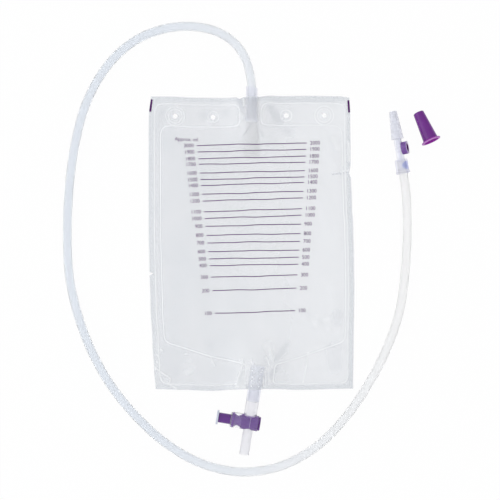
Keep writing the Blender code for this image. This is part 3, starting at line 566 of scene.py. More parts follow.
def turned(name: str, profile: Sequence[Pair], facets: int, frame: Matrix = Matrix()) -> Piece:
    """Turns a profile about Z, as on a lathe: points extruded one from another, then spun.

    Args:
        name: the piece's name.
        profile: (radius, height) points. They start and end on the axis, or come back to the start.
        facets: round the axis.
        frame: where the piece's own axes lie in the model.

    Returns:
        The piece, with its place kept in its mesh.
    """
    deselect()
    bpy.ops.mesh.primitive_plane_add(size=0.1 * MM)
    piece = bpy.context.object
    piece.name = name
    bpy.ops.object.mode_set(mode="EDIT")
    bpy.ops.mesh.merge(type="CENTER")
    bpy.ops.transform.translate(value=(profile[0][0], 0.0, profile[0][1]))
    for (before, low), (after, high) in zip(profile, profile[1:]):
        bpy.ops.mesh.extrude_vertices_move(
            TRANSFORM_OT_translate={"value": (after - before, 0.0, high - low)}
        )
    bpy.ops.mesh.select_all(action="SELECT")
    bpy.ops.mesh.spin(steps=facets, angle=math.tau, center=(0, 0, 0), axis=(0, 0, 1))
    bpy.ops.mesh.select_all(action="SELECT")
    bpy.ops.mesh.remove_doubles(threshold=0.002 * MM)
    bpy.ops.mesh.normals_make_consistent(inside=False)
    bpy.ops.object.mode_set(mode="OBJECT")
    place(piece, frame)
    return piece


def join_or_cut(piece: Piece, cut: Cut, profile: Sequence[Pair], facets: int, frame: Matrix) -> None:
    """Joins a turned shape to a piece, or cuts it away.

    Args:
        piece: the piece.
        cut: what is done.
        profile: (radius, height) points of the other shape, as turned takes them.
        facets: round its axis.
        frame: where its own axes lie.
    """
    tool = turned("tool", profile, facets, frame)
    apply_modifier(piece, "BOOLEAN", operation=cut.value, solver="EXACT", object=tool)
    bpy.data.objects.remove(tool, do_unlink=True)


def cylinder(radius: float, top: float, bottom: float) -> list[Pair]:
    """The profile of a plain cylinder."""
    return [(0.0, top), (radius, top), (radius, bottom), (0.0, bottom)]


def place(piece: Piece, frame: Matrix) -> None:
    """Moves a piece that was made about the origin to its frame, with the place kept in its mesh.

    Args:
        piece: the piece.
        frame: where its own axes lie in the model.
    """
    pick(piece)
    piece.matrix_world = frame
    bpy.ops.object.transform_apply(location=True, rotation=True, scale=True)


def arc(centre: Pair, radius: float, start: float, end: float, steps: int = 6) -> list[Pair]:
    """Points on an arc of a profile, with both ends.

    Args:
        centre: (radius, height) of its centre.
        radius: of the arc.
        start: angle in degrees, 0 away from the axis and 90 up.
        end: angle in degrees.
        steps: between the ends.

    Returns:
        The points.
    """
    angles = [math.radians(start + (end - start) * i / steps) for i in range(steps + 1)]
    return [(centre[0] + radius * math.cos(a), centre[1] + radius * math.sin(a)) for a in angles]


def rounded(radius: float, height: float, edge: float, steps: int, low: bool = False) -> list[Pair]:
    """Points that round an outer corner of a profile, which runs from the top down.

    Args:
        radius: of the corner, if it were sharp.
        height: of the corner, if it were sharp.
        edge: what it is rounded by.
        steps: between the ends of its arc.
        low: whether it is a lower corner.

    Returns:
        The points.
    """
    if low:
        return arc((radius - edge, height + edge), edge, 0, -90, steps)
    return arc((radius - edge, height - edge), edge, 90, 0, steps)


def depth_along(origin: Vector, along: Vector) -> Callable[[Vector], float]:
    """A function that tells how far along a direction a place lies.

    Args:
        origin: where it starts to count.
        along: the direction, one metre long.

    Returns:
        The function, from a place to metres.
    """
    return lambda middle: (middle - origin).dot(along)


def between(first: Vector, second: Vector, low: float, high: float, at: float) -> Vector:
    """A place on the line through two others.

    Args:
        first: the place at low.
        second: the place at high.
        low: a value.
        high: a higher value.
        at: the value that the place is wanted for.

    Returns:
        The place.
    """
    return first * ((high - at) / (high - low)) + second * ((at - low) / (high - low))


def finish_piece(
    piece: Piece,
    material: Material,
    body: str = BAG,
    stands_for: str | None = None,
    others: Sequence[tuple[Material, Callable[[Vector], bool]]] = (),
) -> None:
    """Dresses a piece and seats it in the frame.

    Args:
        piece: the piece.
        material: what it is made of.
        body: the body that it moves with.
        stands_for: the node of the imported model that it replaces.
        others: (finish, which faces have it, told from their middles), the first that fits.
    """
    piece.data.materials.clear()
    piece.data.materials.append(material)
    for other, _ in others:
        piece.data.materials.append(other)
    if others:
        for face in piece.data.polygons:
            fits = [where(face.center) for _, where in others]
            face.material_index = fits.index(True) + 1 if any(fits) else 0
    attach(piece, body)
    if stands_for is not None:
        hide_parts(stands_for)
    LOG.info("%s: %d faces, rides on %s", piece.name, len(piece.data.polygons), body)


def frame_along(origin: Vector, along: Vector, up: Vector = UP) -> Matrix:
    """A frame whose Z runs along a direction, and whose Y is as near to up as it can be.

    Args:
        origin: of the frame.
        along: the direction of its Z.
        up: what its Y leans to.

    Returns:
        The frame.
    """
    z = along.normalized()
    x = up.cross(z).normalized()
    y = z.cross(x)
    frame = Matrix((x, y, z)).transposed().to_4x4()
    frame.translation = origin
    return frame


# The films, seen from above


def ease(share: Array) -> Array:
    """Eases from 0 to 1, level at both ends."""
    share = np.clip(share, 0.0, 1.0)
    return share * share * (3.0 - 2.0 * share)


def falloff(distance: Array, reach: float) -> Array:
    """Eases from 1 at no distance to 0 at the reach."""
    return 1.0 - ease(distance / reach)


def distance_to(points: Array, line: Array, closed: bool) -> Array:
    """The least distance from each point to a line of straight stretches.

    Args:
        points: (n, 2).
        line: (m, 2).
        closed: whether its last point is joined to its first.

    Returns:
        (n,) distances.
    """
    starts = line if closed else line[:-1]
    spans = (np.roll(line, -1, axis=0) if closed else line[1:]) - starts
    squares = np.maximum((spans**2).sum(axis=1), 1e-12)
    best = np.full(len(points), np.inf)
    for first in range(0, len(points), 4000):
        part = points[first : first + 4000]
        offsets = part[:, None, :] - starts[None, :, :]
        share = np.clip((offsets * spans).sum(axis=2) / squares, 0.0, 1.0)
        gaps = np.linalg.norm(offsets - share[:, :, None] * spans, axis=2)
        best[first : first + 4000] = gaps.min(axis=1)
    return best


def inside(points: Array, line: Array) -> Array:
    """Whether each point lies inside a closed line.

    Args:
        points: (n, 2).
        line: (m, 2).

    Returns:
        (n,) truth values.
    """
    found = np.zeros(len(points), bool)
    for (ax, ay), (bx, by) in zip(np.roll(line, 1, axis=0), line):
        if ay != by:
            crossing = ax + (bx - ax) * (points[:, 1] - ay) / (by - ay)
            found ^= ((ay > points[:, 1]) != (by > points[:, 1])) & (points[:, 0] < crossing)
    return found


def spaced(start: Array, end: Array, step: float) -> list[Array]:
    """Points from start towards end at about one step, without the end."""
    count = max(1, round(float(np.linalg.norm(end - start)) / step))
    return [start + (end - start) * (i / count) for i in range(count)]


@dataclass(frozen=True)
class Stray:
    """How far a cut edge strays from the true rectangle, as (share of the edge, stray) pairs."""

    table: tuple[Pair, ...]

    def at(self, share: Array) -> Array:
        """The stray at each share of the edge's length.

        Args:
            share: (n,) shares, from 0 to 1.

        Returns:
            (n,) metres, one for each share.
        """
        places = np.array([place for place, _ in self.table])
        strays = np.array([stray for _, stray in self.table])
        share = np.clip(share, 0.0, 1.0)
        after = np.clip(np.searchsorted(places, share), 1, len(places) - 1)
        within = (share - places[after - 1]) / (places[after] - places[after - 1])
        return strays[after - 1] + (strays[after] - strays[after - 1]) * ease(within)


@dataclass(frozen=True)
class Port:
    """A sleeve between the films, with its axis from the cut edge into the bag."""

    edge: Pair
    inward: Pair
    height: float
    film_radius: float
    depth: float
    slope_reach: float = 26 * MM
    run_out: float = 36 * MM
    flank_angle: float = math.radians(55)

    def measure(self, points: Array) -> tuple[Array, Array]:
        """(along, across) of each point.

        Args:
            points: (n, 2) places in plan.

        Returns:
            How far each lies into the bag from the cut edge, and how far to the side of the axis.
        """
        offset = points - np.array(self.edge)
        inward = np.array(self.inward)
        return offset @ inward, offset @ np.array((inward[1], -inward[0]))

    @property
    def flank(self) -> float:
        """Half the width between the welds beside the sleeve."""
        lean = self.flank_angle
        return self.film_radius * (math.sin(lean) + math.cos(lean) / math.tan(lean))

    def lift(self, points: Array) -> tuple[Array, Array]:
        """(how far the films' middle is lifted, half their opening) at each point.

        Args:
            points: (n, 2) places in plan.

        Returns:
            The two, in metres, one of each for each place.
        """
        along, across = self.measure(points)
        across = np.abs(across)
        leave = self.film_radius * math.sin(self.flank_angle)
        round_part = np.sqrt(np.maximum(self.film_radius**2 - across**2, 0.0))
        flat_part = np.maximum((self.flank - across) * math.tan(self.flank_angle), 0.0)
        run = falloff(np.maximum(along - self.depth, 0.0), self.run_out)
        slope = falloff(np.maximum(across - self.flank, 0.0), self.slope_reach)
        opening = np.where(across <= leave, round_part, flat_part)
        return run * slope * self.height, run * opening


@dataclass(frozen=True)
class Crease:
    """A fold in the front film, along a straight line. Its sizes are in mm."""

    start: Pair
    end: Pair
    half_width: float
    rise: float
    shape: str = ROUND
    whitened: float = 0.0  # how white the film turns along its crest: partly the crease's own whitening, partly painted highlight
    shaded: float = 0.0  # how much painted shade lies on its far side
    reach: float = 1.1  # how far to its sides its whitening, painted highlight and painted shade reach

    def distance(self, points: Array) -> Array:
        """From each point to the fold's crest."""
        return distance_to(points, np.array((self.start, self.end)) * MM, closed=False)

    def share(self, points: Array) -> Array:
        """1 on the crest, easing to 0 at its reach."""
        return falloff(self.distance(points), self.reach * MM)

    def height(self, points: Array) -> Array:
        """How far it lifts the film at each point."""
        off = self.distance(points) / (self.half_width * MM)
        return self.rise * MM * (np.exp(-np.abs(off) * 1.6) if self.shape == SHARP else np.exp(-(off**2)))

    def rows(self, step: float) -> list[Array]:
        """Points set closely along the crest and its sides, at about one step.

        Args:
            step: between them, in metres.

        Returns:
            The points.
        """
        start, end = np.array(self.start) * MM, np.array(self.end) * MM
        along = (end - start) / np.linalg.norm(end - start)
        across = np.array((-along[1], along[0])) * self.reach * MM
        rows: list[Array] = []
        for share in (-1.3, -0.65, 0.0, 0.65, 1.3):
            rows += spaced(start + across * share, end + across * share, step) + [end + across * share]
        return rows


@dataclass(frozen=True)
class Pleat:
    """A facet between folds, painted as a patch of highlight or of shade. Its sizes are in mm."""

    corners: tuple[Pair, ...]
    whitened: float
    shaded: float = 0.0
    soft: float = 1.0  # how far its edge fades

    def share(self, points: Array) -> Array:
        """1 on the patch, easing to 0 round it.

        Args:
            points: (n, 2) places in plan.

        Returns:
            (n,) values, one for each place.
        """
        line = np.array(self.corners) * MM
        off = distance_to(points, line, closed=True)
        return falloff(np.where(inside(points, line), 0.0, off), self.soft * MM)


@dataclass(frozen=True)
class Ripples:
    """A patch of small waves in the film."""

    centre: Pair
    reach: Pair
    heading: float  # degrees, the way the waves travel
    pitch: float
    rise: float
    seed: int

    def height(self, points: Array) -> Array:
        """How far it lifts the film at each point.

        Args:
            points: (n, 2) places in plan.

        Returns:
            (n,) metres, one for each place.
        """
        offset = (points - np.array(self.centre) * MM) / (np.array(self.reach) * MM)
        patch = falloff(np.linalg.norm(offset, axis=1), 1.0)
        rng = np.random.default_rng(self.seed)
        total = np.zeros(len(points))
        for _ in range(4):
            angle = math.radians(self.heading + rng.uniform(-16, 16))
            pitch = self.pitch * MM * rng.uniform(0.7, 1.5)
            travel = points @ np.array((math.cos(angle), math.sin(angle)))
            total += np.sin(math.tau * travel / pitch + rng.uniform(0, math.tau))
        return self.rise * MM * patch * total / 4


@dataclass
class FilmPlan:
    """Where everything lies on the films: cut edges, weld lines, holes, ports, folds."""

    width: float = 201.6 * MM
    length: float = 292.4 * MM
    film: float = 0.3 * MM
    notch_height: float = -31 * MM
    notch_depth: float = 3.8 * MM
    notch_width: float = 3.2 * MM
    nick_height: float = 70 * MM
    nick_depth: float = 1.6 * MM
    nick_reach: float = 5 * MM
    left: Stray = Stray(
        (
            (0.0, 0.0055), (0.075, 0.0038), (0.15, 0.0024), (0.29, 0.0003), (0.42, -0.0007),
            (0.53, -0.0015), (0.89, -0.0015), (0.95, -0.0011), (1.0, 0.0007),
        )
    )
    right: Stray = Stray(
        (
            (0.0, 0.0013), (0.15, 0.0018), (0.34, 0.0026), (0.435, 0.0022), (0.55, 0.0015),
            (0.63, 0.0001), (0.77, -0.0012), (0.95, -0.0016), (1.0, -0.0025),
        )
    )
    top: Stray = Stray(
        (
            (0.0, 0.0002), (0.09, 0.0002), (0.24, -0.001), (0.43, -0.0014), (0.447, -0.003),
            (0.475, -0.0014), (0.54, -0.0012), (0.61, 0.0004), (0.785, 0.0009), (0.95, 0.0004),
            (1.0, -0.0007),
        )
    )
    bottom: Stray = Stray(
        (
            (0.0, 0.0002), (0.137, -0.0006), (0.283, -0.0017), (0.478, 0.0015), (0.548, 0.0015),
            (0.715, -0.0006), (1.0, 0.0006),
        )
    )
    outer_weld: float = 5.6 * MM
    top_weld: float = 7.2 * MM
    bottom_weld: float = 5.5 * MM
    inner_weld: Pair = (11.9 * MM, 8.7 * MM)  # left and right
    header: float = 29.2 * MM
    shoulder: float = 47.5 * MM
    foot: float = 24.5 * MM
    inlet_gate: float = 10.5 * MM
    outlet_gate: float = 14.5 * MM
    weld_half_width: float = 0.6 * MM
    weld_fade: float = 1.25  # how far its whiteness reaches, in half widths
    line_step: float = 3 * MM  # between the points that a weld line is measured by
    header_fade: float = 9 * MM
    margin_fade: float = 1.5 * MM
    weld_rise: float = 0.02 * MM
    header_whiteness: float = 0.55  # of the welds in the header, beside those of the pocket
    corner: float = 7.5 * MM
    inner_corner: float = 9.5 * MM
    gate_corner: float = 3.5 * MM
    hole_radius: float = 2.3 * MM
    hole_drop: float = 19.4 * MM
    hole_offsets: Pair = (74.6 * MM, 36.6 * MM)
    outer_rings: tuple[float, ...] = (6.7 * MM, 9.4 * MM)
    inner_rings: tuple[float, ...] = (5.6 * MM,)
    weld_dots: tuple[Pair, ...] = (
        (19.8, -5.5), (13.6, -4.5), (10.0, -4.3), (4.7, -4.0), (22.0, 4.3), (19.8, 3.7), (13.6, 3.2),
        (10.3, 3.0), (5.4, 3.4),
    )  # mm along and across the outlet's sleeve
    dot_radius: float = 1.1 * MM
    dot_rise: float = 0.15 * MM
    dot_whiteness: float = 8.0
    pocket_puff: float = 1.9 * MM
    band_puff: float = 0.5 * MM
    puff_reach: float = 9 * MM
    fold_reach: float = 5 * MM  # from a weld to where a fold stands freely
    held_share: float = 0.3  # of a fold's height, that a weld leaves
    margin_hold: float = 0.8  # of a fold's height, that the margin takes away
    least_stand: float = 0.25 * MM  # below this the front film settles softly on the back one
    seam_gap: float = 0.06 * MM
    slack_share: float = 0.08
    inlet: Port = Port((0.8 * MM, 146.2 * MM), (0.0, -1.0), 6.07 * MM, 6.07 * MM, 25.2 * MM)
    outlet: Port = Port(
        (3.3 * MM, -146.2 * MM),
        (math.sin(math.radians(9.2)), math.cos(math.radians(9.2))),
        7.35 * MM,
        6.99 * MM,
        24.4 * MM,
    )
    creases: tuple[Crease, ...] = tuple(
        Crease(*row)
        for row in (
            # the fan below the inlet
            ((-1.5, 120), (-13, 98), 2.2, 0.9), ((1.5, 119), (-3, 90), 2, 0.7),
            ((4, 120), (15, 96), 2.4, 0.8), ((-4, 124), (-30, 96), 3, 0.6), ((6, 122), (31, 88), 4, 0.6),
            # beside the inlet, in the header
            ((-5, 141), (-15, 124), 1.6, 0.9, SHARP),
            ((-14.3, 136), (-5.5, 122.5), 1.4, 0.7, SHARP, 0, 1, 1.2),
            ((-7.4, 141.5), (-7, 136.5), 1.2, 0.4, SHARP, 2.4, 0, 1.2),
            ((3, 121), (-7.5, 106.5), 1.2, 0.5, SHARP, 0, 1, 1.2),
            ((4.8, 120.2), (12, 106), 1.2, 0.4, SHARP, 0, 0.7, 1.2),
            ((5.8, 120), (7.5, 104), 1.4, 0.3, ROUND, 0, 0.5, 1.6), ((14, 140), (30, 118), 3.6, 0.7),
            ((7.5, 142), (13, 127), 1.8, 0.6), ((-44, 138), (-20, 120), 4, 0.5),
            # down the pocket
            ((-22, -40), (-16, -96), 6, 0.8), ((-8, -48), (-8, -100), 4.5, 0.7),
            ((13, -54), (14, -98), 5, 0.9), ((30, -62), (22, -104), 5, 0.6),
            ((-58, -20), (-50, -80), 8, 0.8), ((-60, 10), (-88, -12), 6, 0.6),
            ((70, 108), (88, 66), 6, 0.8), ((66, 60), (88, 0), 8, 0.9), ((56, -74), (78, -88), 4, 0.9),
            ((82, -44), (90, -86), 5, 0.9), ((-40, 80), (-64, 20), 10, 0.6),
            # into the outlet
            ((18.6, -106.5), (21.6, -114.5), 2.2, 1.2, SHARP, 1.4, 0, 1.9),
            ((21.6, -114.5), (22.2, -118), 1.6, 0.8, SHARP, 0.6),
            ((15.5, -113.3), (18.2, -120.8), 1.4, 1, SHARP, 1.2, 0, 0.9),
            ((-8.6, -115), (-8.1, -123), 1.3, 1.2, SHARP, 1.6, 0, 1),
            ((-8.6, -123), (-14.8, -143.4), 1.8, 1.2, SHARP, 0.2),
            ((-7.7, -123), (-6.2, -141.4), 1.6, 0.9, SHARP), ((-24, -107), (-9, -118), 2.5, 0.9),
            ((14.4, -129), (14.6, -141), 0.9, 0.6, SHARP, 0.9, 0, 0.8),
            ((12.3, -134), (12.6, -141), 0.8, 0.6, SHARP, 0.8, 0, 0.8),
            ((15.9, -128), (16.1, -140), 0.9, 0.3, SHARP, 0, 1, 0.8),
            ((13.4, -131), (13.6, -141), 0.8, 0.3, SHARP, 0, 1, 0.7),
            ((2, -121), (0, -117.5), 1.2, 0.7, SHARP, 1), ((25, -122), (20, -134), 3, 1),
            # the bottom corners
            ((-97.3, -123.6), (-91.4, -128.1), 1.1, 0.7, SHARP, 1, 0, 1),
            ((-91.4, -128.1), (-84.7, -132.8), 1.1, 0.7, SHARP, 1, 0, 1),
            ((-84.7, -132.8), (-81.6, -133.9), 1.1, 0.7, SHARP, 1, 0, 1),
            ((-81.6, -133.9), (-80.5, -136.6), 1, 0.6, SHARP, 0.9, 0, 1),
            ((-80.5, -136.6), (-81.3, -139.2), 1, 0.6, SHARP, 0.9, 0, 1),
            ((-81.3, -139.2), (-84.2, -140.8), 1, 0.6, SHARP, 0.8, 0, 1),
            ((-84, -140.6), (-78, -143.3), 1, 0.5, SHARP, 0.6, 0, 1),
            ((-78, -143.3), (-74.6, -145.3), 1, 0.5, SHARP, 0.5, 0, 1),
            ((-40.5, -113.8), (-36, -122.7), 1.4, 0.7, SHARP, 0.4),
            ((-94, -111.5), (-92.8, -112.6), 1, 0.3, ROUND, 1.4),
            ((-93.8, -118.6), (-93.3, -119.8), 1, 0.3, ROUND, 1.2),
            ((-89.2, -107.2), (-88.6, -107.8), 1, 0.3, ROUND, 1.6),
            ((-66.6, -111.2), (-63.4, -110.8), 1, 0.3, ROUND, 1, 0, 0.9),
            ((-90, -112), (-58, -108), 3, 0.7), ((-62, -128), (-56, -124), 4, 0.8),
            ((-46, -106), (-37, -124), 3, 0.6), ((40, -118), (58, -132), 6, 0.5),
            ((70, -112), (84, -134), 6, 0.5),
            # in from the right edge
            ((99.5, 71), (82, 68.5), 1.6, 0.7, SHARP, 0, 1.2, 1.2),
            ((99.5, 73), (90, 71.2), 1.2, 0.5, SHARP, 0.8, 0, 1.2),
            ((90.8, 100), (91.6, 78), 1, 0.3, SHARP, 1.2, 0, 0.9),
            ((94, 93), (94.4, 72), 1, 0.3, SHARP, 0.9, 0, 0.9),
            ((97.2, 100), (98, 83), 1.2, 0.4, SHARP, 1.1, 0, 1.3),
            ((57, -110), (55, -125), 1.2, 0.4, SHARP, 0.6, 0, 1.2),
            ((55, -125), (52, -139), 1.2, 0.4, SHARP, 0.5, 0, 1.2), ((92, 71), (80, 82), 2, 0.6),
            ((99, 47), (86, 44), 1.4, 0.5, SHARP), ((101, 30), (90, 24), 1.4, 0.5, SHARP),
            ((101, 12), (92, 4), 1.4, 0.5, SHARP), ((102, -14), (93, -10), 1.4, 0.4, SHARP),
            # in from the left edge
            ((-101, -31), (-82, -38), 2, 0.6), ((-100, 20), (-86, 14), 2.4, 0.4),
        )
    )
    pleats: tuple[Pleat, ...] = tuple(
        Pleat(*row)
        for row in (
            # the wedge beside the outlet, and the facets round it
            (((-8.6, -122), (-14.6, -142.6), (-6, -142.6)), 1.1),
            (((-8.5, -141), (-4.5, -140), (-4.5, -144.5), (-8, -145)), 0, 1),
            (((36, -100), (33, -108), (23, -116.5), (27, -112)), 0, 0.5, 4),
            (((27, -124), (20, -134.5), (19, -129), (22, -125)), 0, 0.7, 2.6),
            (((15, -103), (18, -102), (17, -106)), 0.1, 0, 5),
            (((-22, -126), (-19, -126), (-19, -135), (-22, -135)), 0, 0.3, 8),
            # beside the inlet
            (((-14, 142.6), (-9.5, 142), (-7.5, 130)), 0, 1, 2),
            (((-11, 129), (-8, 129), (-7, 125), (-12, 125)), 0.16, 0, 3),
            (((18, 135), (20, 135), (30, 122), (29, 121), (24, 125)), 0, 0.6, 5.5),
            (((34, 113), (37, 113), (38, 111)), 0, 0.35, 8),
            (((-88, 131), (-87, 131), (-88, 127)), 0, 0.35, 6),
            (((-48, 127), (-45, 129), (-47, 126)), 0, 0.35, 7),
            (((-27, 129), (-24, 131), (-26, 128)), 0, 0.35, 6),
            # the right side
            (((82, 104), (84, 103), (87, 95), (86, 95)), 0.3, 0, 4),
            (((61, -74), (65, -74), (64, -81)), 0.16, 0, 3.5),
            (((74, -77), (77, -76), (77, -85)), 0.24, 0, 4),
            (((85, -72), (87, -71), (86, -78)), 0, 0.3, 9),
            (((82, -106), (85, -104), (84, -124)), 0, 0.25, 13),
            # the left side
            (((-67, -127), (-57.5, -125), (-57, -128), (-65, -133)), 0.15, 0, 1.2),
            (((-67, -119), (-59, -116), (-59.5, -118.5), (-66, -120.5)), 0.14, 0, 1.2),
            (((-77, -125), (-75, -126), (-76, -132)), 0, 0.35, 7),
            (((-42, -101), (-40, -101), (-40, -104)), 0, 0.3, 8),
        )
    )
    ripples: tuple[Ripples, ...] = (
        Ripples((96, 20), (16, 90), 84, 9, 0.30, 3),
        Ripples((-97, -60), (14, 70), 80, 12, 0.18, 5),
        Ripples((0, 104), (46, 26), 10, 13, 0.28, 7),
        Ripples((8, -108), (44, 26), 0, 11, 0.32, 9),
        Ripples((-74, -126), (26, 16), 40, 12, 0.40, 11),
        Ripples((74, -122), (26, 20), 120, 15, 0.30, 13),
        Ripples((0, 20), (90, 120), 5, 34, 0.34, 17),
        Ripples((0, 128), (96, 14), 12, 22, 0.14, 19),
    )

    def laid(self, points: Array) -> Array:
        """Where points of the true rectangle lie, once the film's edges have strayed.

        Args:
            points: (n, 2) places in the true rectangle.

        Returns:
            (n, 2) places in plan.
        """
        across = points[:, 0] / self.width + 0.5
        along = points[:, 1] / self.length + 0.5
        left, right = self.left.at(along), self.right.at(along)
        bottom, top = self.bottom.at(across), self.top.at(across)
        x = points[:, 0] + left + (right - left) * across
        return np.stack((x, points[:, 1] + bottom + (top - bottom) * along), axis=1)

    def cut_line(self, step: float) -> Array:
        """The cut edge once round, with the tear in its left side.

        Args:
            step: between its points.

        Returns:
            (n, 2) points.
        """
        half, top = self.width / 2, self.length / 2
        tear = self.notch_width / 2
        nick, reach = self.nick_height, self.nick_reach
        corners = np.array(
            [
                (-half, -top), (half, -top),
                (half, nick - reach), (half - self.nick_depth, nick), (half, nick + reach * 1.6),
                (half, top), (-half, top),
                (-half, self.notch_height + tear),
                (-half + self.notch_depth, self.notch_height + tear * 0.3),
                (-half, self.notch_height - tear),
            ]
        )
        points: list[Array] = []
        for start, end in zip(corners, np.roll(corners, -1, axis=0)):
            points += spaced(start, end, step)
        return self.laid(np.array(points))

    def weld_line(self, side: int, step: float) -> Array:
        """The closed weld line on one side of the ports.

        Args:
            side: -1 for left, 1 for right.
            step: between its points.

        Returns:
            (n, 2) points.
        """
        half, top = self.width / 2, self.length / 2
        outer = side * (half - self.outer_weld)
        inner = side * (half - self.inner_weld[0 if side < 0 else 1])
        inlet = self.inlet.edge[0] + side * self.inlet_gate
        lean = self.outlet.inward[0] / self.outlet.inward[1]
        at_foot = self.outlet.edge[0] + self.foot * lean + side * self.outlet_gate
        at_edge = self.outlet.edge[0] + self.bottom_weld * lean + side * self.outlet_gate
        corners = [
            (inlet, top - self.top_weld, self.corner),
            (outer, top - self.top_weld, self.corner),
            (outer, -top + self.bottom_weld, self.corner),
            (at_edge, -top + self.bottom_weld, self.gate_corner),
            (at_foot, -top + self.foot, self.gate_corner),
            (inner, -top + self.shoulder, self.corner),
            (inner, top - self.header, self.inner_corner),
            (inlet, top - self.header, self.corner),
        ]
        bends: list[list[Array]] = []
        for i, (x, y, radius) in enumerate(corners):
            corner = Vector((x, y))
            before = Vector(corners[i - 1][:2]) - corner
            after = Vector(corners[(i + 1) % len(corners)][:2]) - corner
            reach = radius / math.tan(before.angle(after) / 2)
            enter = corner + before.normalized() * reach
            leave = corner + after.normalized() * reach
            count = max(3, round(reach * 1.6 / step))
            shares = [n / count for n in range(count + 1)]
            bends.append([np.array(enter.lerp(corner, s).lerp(corner.lerp(leave, s), s)) for s in shares])
        points: list[Array] = []
        for bend, following in zip(bends, bends[1:] + bends[:1]):
            points += bend[:-1]
            points += spaced(bend[-1], following[0], step)
        return self.laid(np.array(points))

    def holes(self) -> list[tuple[Array, tuple[float, ...]]]:
        """(centre, ring radii) of each hanging hole.

        Returns:
            The four holes, the outer two first.
        """
        height = self.length / 2 - self.hole_drop
        found = []
        for offset, rings in zip(self.hole_offsets, (self.outer_rings, self.inner_rings)):
            for side in (-1, 1):
                found.append((self.laid(np.array([(side * offset, height)]))[0], rings))
        return found

    def weld_distance(self, points: Array) -> Array:
        """From each point to the nearest weld line or ring.

        Args:
            points: (n, 2) places in plan.

        Returns:
            (n,) metres, one for each place.
        """
        best = np.full(len(points), np.inf)
        for side in (-1, 1):
            best = np.minimum(best, distance_to(points, self.weld_line(side, self.line_step), closed=True))
        for centre, rings in self.holes():
            radius = np.linalg.norm(points - centre, axis=1)
            for ring in rings:
                best = np.minimum(best, np.abs(radius - ring))
        return best

    def weldness(self, points: Array) -> Array:
        """1 on a weld line, easing to 0 at its sides."""
        return falloff(self.weld_distance(points), self.weld_half_width * self.weld_fade)

    def dots(self, points: Array) -> Array:
        """1 in the middle of each dot of the weld over the outlet's sleeve, 0 outside.

        Args:
            points: (n, 2) places in plan.

        Returns:
            (n,) values, one for each place.
        """
        along, across = self.outlet.measure(points)
        best = np.full(len(points), np.inf)
        for place_along, place_across in self.weld_dots:
            offset = np.hypot(along - place_along * MM, across - place_across * MM)
            best = np.minimum(best, offset)
        return falloff(best, self.dot_radius)

    def whiteness(self, points: Array) -> Array:
        """How white the film is drawn: by the welds and their dots, and by the painted highlights of folds
        and facets.

        Args:
            points: (n, 2) places in plan.

        Returns:
            (n,) values, from 0 up. A weld line of the pocket has 1.
        """
        in_header = ease((points[:, 1] - (self.length / 2 - self.header)) / self.header_fade + 1.0)
        welds = self.weldness(points) * (1.0 - in_header * (1.0 - self.header_whiteness))
        best = np.maximum(welds, self.dots(points) * self.dot_whiteness)
        # painted highlights along folds and on facets
        for fold in self.creases + self.pleats:
            if fold.whitened:
                best = np.maximum(best, fold.whitened * fold.share(points))
        return best

    def shade(self, points: Array) -> Array:
        """How much painted shade the folds and facets lay on the film.

        Args:
            points: (n, 2) places in plan.

        Returns:
            (n,) values, one for each place.
        """
        best = np.zeros(len(points))
        for fold in self.creases + self.pleats:
            if fold.shaded:
                best = np.maximum(best, fold.shaded * fold.share(points))
        return best

    def marginness(self, points: Array) -> Array:
        """1 outside the outer weld lines, easing to 0 inside them.

        Args:
            points: (n, 2) places in plan.

        Returns:
            (n,) values, one for each place.
        """
        in_pocket = np.zeros(len(points), bool)
        for side in (-1, 1):
            in_pocket |= inside(points, self.weld_line(side, self.line_step))
        across = np.abs(points[:, 0]) - (self.width / 2 - self.outer_weld)
        along = np.abs(points[:, 1]) - (self.length / 2 - self.outer_weld)
        out = ease(np.maximum(across, along) / self.margin_fade + 0.5)
        return np.where(in_pocket, 0.0, out)

    def fine_points(self, step: float) -> Array:
        """Points set closely along the folds that carry painted highlight or painted shade, and on the
        dots, for the mesh to follow.

        Args:
            step: between the points of a fold.

        Returns:
            (n, 2) points.
        """
        found: list[Array] = []
        for crease in self.creases:
            if crease.whitened or crease.shaded:
                found += crease.rows(step)
        inward = np.array(self.outlet.inward)
        sideways = np.array((inward[1], -inward[0]))
        for along, across in self.weld_dots:
            centre = np.array(self.outlet.edge) + (inward * along + sideways * across) * MM
            found.append(centre)
            for radius in (0.5, 1.0):
                for turn in np.linspace(0.0, math.tau, 8, endpoint=False):
                    offset = np.array((math.cos(turn), math.sin(turn)))
                    found.append(centre + offset * radius * self.dot_radius)
        return np.array(found)

    def lifts(self, points: Array) -> tuple[Array, Array]:
        """The films' lift and half-opening, from whichever port is nearer.

        Args:
            points: (n, 2) places in plan.

        Returns:
            The two, in metres, one of each for each place.
        """
        inlet, outlet = self.inlet.lift(points), self.outlet.lift(points)
        first = inlet[0] + inlet[1] > outlet[0] + outlet[1]
        return np.where(first, inlet[0], outlet[0]), np.where(first, inlet[1], outlet[1])

